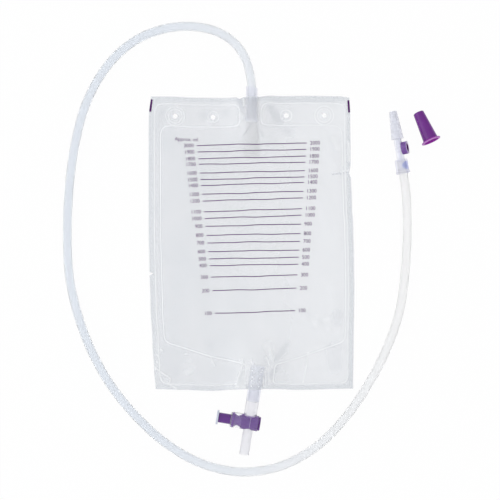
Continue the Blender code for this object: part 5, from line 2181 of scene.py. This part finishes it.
@dataclass
class Connector:
    """The stepped connector with its sampling port, and the socket that holds the tube."""

    finishes: Finishes
    base: Vector
    along: Vector
    facets: int = 96
    socket_flange: float = 13.6 * MM
    socket_flange_length: float = 2.0 * MM
    socket_outer: float = 12.3 * MM
    socket_length: float = 13.8 * MM
    socket_edge: float = 0.5 * MM
    mouth_edge: float = 0.3 * MM
    bond_reach: float = 1.3 * MM  # how far the edge of the bonded patch fades
    bond_span: Pair = (3.2 * MM, 11.8 * MM)
    bond_middle: float = 1.0 * MM  # how far past the axis it comes at half its length
    bond_rings: tuple[float, ...] = (0.0, 0.06, 0.14, 0.3, 0.5, 0.7, 0.86, 0.94, 1.0)  # shares of it
    tube_outer: float = 8.6 * MM
    tube_depth: float = 11.5 * MM
    fit: float = 0.3 * MM
    neck: float = 3.75 * MM
    cone_start: float = 34.6 * MM
    cone_length: float = 27.5 * MM
    cone_base: float = 6.1 * MM
    cone_tip: float = 3.7 * MM
    tip_edge: float = 0.35 * MM
    steps: int = 7
    plain_steps: float = 1.6
    barb: float = 0.32 * MM
    barb_edge: float = 0.05 * MM
    bore: float = 4.6 * MM
    port_at: float = 24.5 * MM
    port_tilt: float = math.radians(24)
    boss: float = 5.0 * MM
    boss_back: float = 2.2 * MM
    cup_outer: float = 12.5 * MM
    cup_start: float = 2.6 * MM
    cup_end: float = 8.8 * MM
    cup_edges: Pair = (0.2 * MM, 0.6 * MM)  # of its rim and of its floor
    cup_wall: float = 0.6 * MM
    cup_floor: float = 0.4 * MM
    port_bore: float = 1.5 * MM
    overrun: float = 2.0 * MM
    plug_inset: float = 0.25 * MM
    plug_squeeze: float = 0.03 * MM
    plug_edge: float = 0.3 * MM
    recess: float = 4.1 * MM
    recess_depth: float = 1.4 * MM
    recess_edge: float = 0.15 * MM

    @property
    def frame(self) -> Matrix:
        """Z from the socket to the tip."""
        return frame_along(self.base, self.along)

    @property
    def port_frame(self) -> Matrix:
        """Z out of the sampling port, tilted up from the table."""
        out = self.along.cross(UP) * math.cos(self.port_tilt) + UP * math.sin(self.port_tilt)
        return frame_along(self.base + self.along * self.port_at, out, self.along)

    def in_port(self) -> Callable[[Vector], Vector]:
        """Turns a place in the model into one in the port's frame."""
        inverse = self.port_frame.inverted()
        return lambda place_at: inverse @ place_at

    def cone_profile(self) -> list[Pair]:
        """The outside from the tip down the barbed steps to the neck.

        Returns:
            (radius, height) points.
        """
        tip, edge = self.cone_start + self.cone_length, self.tip_edge
        pitch = self.cone_length / (self.steps - 1 + self.plain_steps)
        plain = pitch * self.plain_steps
        growth = (self.cone_base - self.cone_tip - self.barb) / self.steps
        points = [(0.0, tip), *arc((self.cone_tip - edge, tip - edge), edge, 90, 10, 4)]
        radius = self.cone_tip
        for step in range(self.steps):
            length = plain if step == 0 else pitch
            low = tip - plain - pitch * step
            wide = radius + growth + self.barb
            last = step == self.steps - 1
            if last:
                low, wide = self.cone_start, self.cone_base
            points += [
                (wide - (0.0 if last else self.barb_edge), low + length * 0.16),
                (wide, low + length * 0.08),
                (wide - self.barb_edge, low + length * 0.02),
                (wide - self.barb, low),
            ]
            radius = wide - self.barb
        end = self.tube_depth + self.fit
        points += [
            (self.cone_base - 4 * SKIN, self.cone_start),
            (self.neck + self.fit, self.cone_start),
            (self.neck, self.cone_start - self.fit),
            (self.neck, end),
            (0.0, end),
        ]
        return points

    def add_body(self) -> Piece:
        """Cone, neck and the port's cup in one clear moulding.

        Returns:
            The moulding.
        """
        cup, start, end = self.cup_outer / 2, self.cup_start, self.cup_end
        body = turned("stepped_connector", self.cone_profile(), self.facets, self.frame)
        boss = [
            (0.0, end),
            *rounded(cup, end, self.cup_edges[0], 3),
            *rounded(cup, start, self.cup_edges[1], 4, low=True),
            *cylinder(self.boss, start, -self.boss_back)[1:],
        ]
        join_or_cut(body, Cut.JOIN, boss, self.facets, self.port_frame)
        floor = start + self.cup_floor
        hollow = cylinder(cup - self.cup_wall, end + self.overrun, floor)[:-1]
        hollow += cylinder(self.port_bore, floor, 0.0)[1:]
        join_or_cut(body, Cut.REMOVE, hollow, 72, self.port_frame)
        tip = self.cone_start + self.cone_length
        lumen = cylinder(self.bore / 2, tip + self.overrun, self.tube_depth - self.overrun)
        join_or_cut(body, Cut.REMOVE, lumen, 60, self.frame)
        smooth(body)
        along, in_port = depth_along(self.base, self.along), self.in_port()
        finish_piece(
            body, self.finishes["styrene"], BAG, "connector_body",
            [
                (self.finishes["cone"], lambda middle: along(middle) > self.cone_start - SKIN),
                (self.finishes["collar"], lambda middle: in_port(middle).z > end - 4 * SKIN),
                (self.finishes["outlet_sleeve"], lambda middle: in_port(middle).z < start - SKIN),
            ],
        )
        return body

    def add_plug(self) -> Piece:
        """The self-sealing rubber in the cup, with the recess that a syringe is set in.

        Returns:
            The rubber.
        """
        face = self.cup_end - self.plug_inset
        radius = self.cup_outer / 2 - self.cup_wall + self.plug_squeeze
        recess, depth = self.recess, self.recess_depth
        profile = [
            (0.0, face - depth * 0.6),
            (recess * 0.5, face - depth),
            (recess - 4 * SKIN, face - depth),
            (recess, face - self.recess_edge),
            (recess + self.recess_edge, face),
            *rounded(radius, face, self.plug_edge, 3),
            *cylinder(radius, face, self.cup_start + self.cup_floor + SKIN)[2:],
        ]
        piece = turned("sampling_port_rubber", profile, 72, self.port_frame)
        smooth(piece)
        in_port = self.in_port()

        def in_recess(middle: Vector) -> bool:
            """Whether a face lies in the recess."""
            spot = in_port(middle)
            return spot.z > face - depth * 1.1 and spot.xy.length < recess + SKIN / 5

        finish_piece(
            piece, self.finishes["rubber"], BAG, "port_plug",
            [
                # painted shade in the recess
                (self.finishes["rubber_face_painted_shade"], in_recess),
                # painted highlight on the lip
                (self.finishes["rubber_lip_painted_highlight"], lambda middle: in_port(middle).z > face - 3.5 * SKIN),
            ],
        )
        return piece

    def add_socket(self) -> Piece:
        """The flanged collar that the tube is glued into.

        Returns:
            The collar.
        """
        bore, hole = self.tube_outer / 2 + SKIN / 2, self.neck + SKIN / 2
        shoulder = self.tube_depth + SKIN / 2
        outer, flange, rim = self.socket_outer / 2, self.socket_flange / 2, self.socket_flange_length
        edge, mouth = self.socket_edge, self.mouth_edge
        low, top = self.bond_span
        profile = [
            (hole, self.socket_length),
            *rounded(outer, self.socket_length, edge, 5),
            *[(outer + SKIN / 2 * share, top - (top - low) * share) for share in self.bond_rings],
            (outer + SKIN, rim + 6 * SKIN),
            (outer + edge, rim),
            *rounded(flange, rim, edge, 4),
            *rounded(flange, 0.0, edge, 4, low=True),
            (bore + mouth, 0.0),
            (bore, mouth),
            (bore, shoulder),
            (hole, shoulder),
            (hole, self.socket_length),
        ]
        piece = turned("tube_collar", profile, self.facets)
        bond = piece.data.attributes.new("bond", "FLOAT", "POINT")
        for vert, value in zip(piece.data.vertices, bond.data):
            level = min(abs(2 * (vert.co.z - low) / (top - low) - 1), 1.0)
            limit = (outer + self.bond_middle) * math.sqrt(1 - level**2) - outer
            value.value = float(ease(np.array((limit - vert.co.x) / self.bond_reach + 0.5)))
        place(piece, self.frame)
        smooth(piece)
        finish_piece(piece, self.finishes["collar"], stands_for="tube_socket")
        return piece

    def build(self) -> list[Piece]:
        """Makes the connector's three pieces, and returns them."""
        return [self.add_body(), self.add_plug(), self.add_socket()]


@dataclass
class Cap:
    """The connector's cap, lying on the rim of its flange and the edge of its closed end."""

    finishes: Finishes
    mouth: Pair = (178.25 * MM, 100.45 * MM)
    heading: float = math.radians(22.5)
    length: float = 31.8 * MM
    tip: float = 5.3 * MM
    base: float = 7.4 * MM
    flange: float = 9.6 * MM
    flange_length: float = 1.3 * MM
    wall: float = 1.1 * MM
    end_wall: float = 1.6 * MM
    tip_round: float = 1.1 * MM
    fillet: float = 0.9 * MM
    rim: float = 0.35 * MM
    table_gap: float = 0.1 * MM
    # the flare of its inside at the mouth: (out from the wall, depth) in mm
    flare: tuple[Pair, ...] = ((1.1, 0.0), (0.9, 0.4), (0.3, 1.5), (0.0, 3.0))

    def profile(self) -> list[Pair]:
        """From the closed end down the outside, round the flange and up the inside.

        Returns:
            (radius, height) points.
        """
        top, fillet, rim = self.flange_length, self.fillet, self.rim
        inner_tip, inner_base = self.tip - self.wall, self.base - self.wall
        bottom = self.length - self.end_wall
        return [
            (0.0, self.length),
            *rounded(self.tip, self.length, self.tip_round, 6),
            (self.base, top + fillet),
            *arc((self.base + fillet, top + fillet), fillet, 190, 270, 5),
            *rounded(self.flange, top, rim, 3),
            *rounded(self.flange, 0.0, rim, 3, low=True),
            *[(inner_base + out * MM, depth * MM) for out, depth in self.flare],
            (inner_tip + 3 * SKIN, bottom - 6 * SKIN),
            (inner_tip - 3 * SKIN, bottom),
            (0.0, bottom),
        ]

    def build(self) -> None:
        """Makes the cap."""
        tilt = math.asin((self.flange - self.tip) / (self.length - self.flange_length))
        height = self.flange * math.cos(tilt) + self.flange_length * math.sin(tilt) + self.table_gap
        flat = math.cos(tilt)
        along = Vector((-math.sin(self.heading) * flat, math.cos(self.heading) * flat, -math.sin(tilt)))
        mouth = Vector((*self.mouth, height))
        piece = turned("connector_cap_moulding", self.profile(), 128, frame_along(mouth, along))
        smooth(piece)
        bottom, flare_depth = self.length - self.end_wall, self.flare[-1][1] * MM
        depth_at = depth_along(mouth, along)

        def is_inside(middle: Vector) -> bool:
            """Whether a face lies inside the cap.

            Args:
                middle: of the face.

            Returns:
                Whether it does.
            """
            depth = depth_at(middle)
            wall = self.base + (self.tip - self.base) * depth / self.length - self.wall / 2
            limit = wall + (self.fillet if depth < flare_depth else 0.0)
            off = (middle - mouth - along * depth).length
            return SKIN / 2 < depth < bottom + SKIN and off < limit

        finish_piece(
            piece, self.finishes["cap"], BAG, "connector_cap",
            [
                # painted light: the inside is drawn brighter
                (self.finishes["cap_inside_painted_light"], is_inside),
                # painted light on the rim
                (self.finishes["cap_rim_painted_light"], lambda middle: depth_at(middle) < self.flange_length * 0.75),
            ],
        )


# The studio


@dataclass
class Studio:
    """A white table, soft light from above and a camera that looks straight down."""

    target: Vector = Vector((-1.0 * MM, -7.0 * MM, 0.0))
    height: float = 850 * MM
    field: float = 500 * MM
    table_size: float = 6.0
    table_drop: float = 0.05 * MM
    surround: float = 0.87
    seen_sides: Pair = (1.25, 0.45)  # what gloss sees of the surround, on the left and on the right

    def add_table(self) -> None:
        """The white table under the bag."""
        deselect()
        bpy.ops.mesh.primitive_grid_add(x_subdivisions=8, y_subdivisions=8, size=self.table_size)
        table = bpy.context.object
        table.name = "white_table"
        table.location.z = -self.table_drop
        table.data.materials.append(WhiteTable().material())

    def add_lamp(self, name: str, place_at: Pair, height: float, sides: Pair, power: float) -> None:
        """A soft box that faces the bag.

        Args:
            name: the lamp's name.
            place_at: where it stands, seen from above.
            height: above the table.
            sides: its width and height.
            power: in watts.
        """
        lamp = bpy.data.lights.new(name, "AREA")
        lamp.shape = "RECTANGLE"
        lamp.size, lamp.size_y = sides
        lamp.energy = power
        made = bpy.data.objects.new(name, lamp)
        made.location = (*place_at, height)
        toward = self.target - made.location
        made.rotation_euler = toward.to_track_quat("-Z", "Y").to_euler()
        bpy.context.scene.collection.objects.link(made)

    def add_world(self) -> None:
        """A pale surround: it lights evenly, and gloss sees its left side brighter."""
        world = bpy.data.worlds.new("pale_room")
        world.use_nodes = True
        bpy.context.scene.world = world
        background = world.node_tree.nodes["Background"]
        background.inputs["Color"].default_value = linear("#FBFCFE")
        side = remap(world, along_x(world, "Generated"), (-1.0, 1.0), self.seen_sides)
        path = add_node(world, "ShaderNodeLightPath").outputs
        inputs = {0: path["Is Glossy Ray"], 1: path["Is Transmission Ray"]}
        settings = {"operation": "SUBTRACT", "use_clamp": True}
        gloss = add_node(world, "ShaderNodeMath", settings, inputs).outputs["Value"]
        shown = add_node(world, "ShaderNodeMix", inputs={0: gloss, 2: 1.0, 3: side}).outputs[0]
        strength = add_node(world, "ShaderNodeMix", inputs={0: seen(world), 2: self.surround, 3: shown})
        world.node_tree.links.new(strength.outputs[0], background.inputs["Strength"])

    def add_camera(self) -> None:
        """A camera straight above, whose frame is the photograph's."""
        camera = bpy.data.cameras.new("camera")
        camera.sensor_width = 36.0
        camera.lens = camera.sensor_width * self.height / self.field
        camera.clip_start = 0.01
        camera.clip_end = 20.0
        made = bpy.data.objects.new("camera", camera)
        made.location = self.target + Vector((0.0, 0.0, self.height))
        made.rotation_euler = Euler((0.0, 0.0, 0.0))
        bpy.context.scene.collection.objects.link(made)
        bpy.context.scene.camera = made

    def build(self) -> None:
        """Sets up the table, the light and the camera."""
        self.add_table()
        self.add_world()
        self.add_lamp("left_soft_box", (-1.45, 0.0), 0.85, (2.4, 1.4), 7.0)
        self.add_camera()
        bpy.context.scene.view_settings.view_transform = "Standard"


def main() -> None:
    """Builds and dresses every piece."""
    logging.basicConfig(level=logging.INFO, format="%(message)s")
    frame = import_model()
    finishes = make_finishes()
    Studio().build()
    plan = FilmPlan()
    front = FilmBag(plan, finishes).build()
    ScalePrint(front, plan, finishes).build()

    mounts = {mount["name"]: mount for mount in frame["record"]["mounts"]}
    tip = mounts["connector_tip"]
    along = Vector(tip["axis"]).normalized()
    low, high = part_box("tube_socket")
    connector_height = (low[2] + high[2]) / 2
    reach = Connector.cone_start + Connector.cone_length
    tip_centre = Vector((tip["pos_m"][0], tip["pos_m"][1], connector_height))
    connector = Connector(finishes, tip_centre - along * reach, along).build()
    DrainTube(finishes, connector).build()

    spout = mounts["spout_end"]
    down = Vector(spout["axis"]).normalized()
    low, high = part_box("tap_body")
    spout_centre = Vector((spout["pos_m"][0], spout["pos_m"][1], (low[2] + high[2]) / 2))
    crossing = spout_centre - down * PushTap.spout_end
    slide = Vector(frame["joints"][0]["axis"]).normalized()
    PushTap(finishes, crossing, slide).build()

    Sleeve(
        name="inlet_tube_sleeve",
        stands_for="inlet_sleeve",
        origin=Vector((0.8 * MM, 121.0 * MM, DrainTube.sleeve_top.z)),
        along=Vector((0.0, 1.0, 0.0)),
        outer=11.2 * MM,
        bore=9.0 * MM,
        length=33.3 * MM,
        finish=finishes["sleeve"],
        cut_lean=math.radians(9),
    ).build()
    Sleeve(
        name="outlet_tube_sleeve",
        stands_for="outlet_sleeve",
        origin=crossing - down * 21.7 * MM,
        along=-down,
        outer=13.0 * MM,
        bore=10.1 * MM,
        length=34.6 * MM,
        finish=finishes["outlet_sleeve"],
    ).build()
    Cap(finishes).build()


if __name__ == "__main__":
    main()
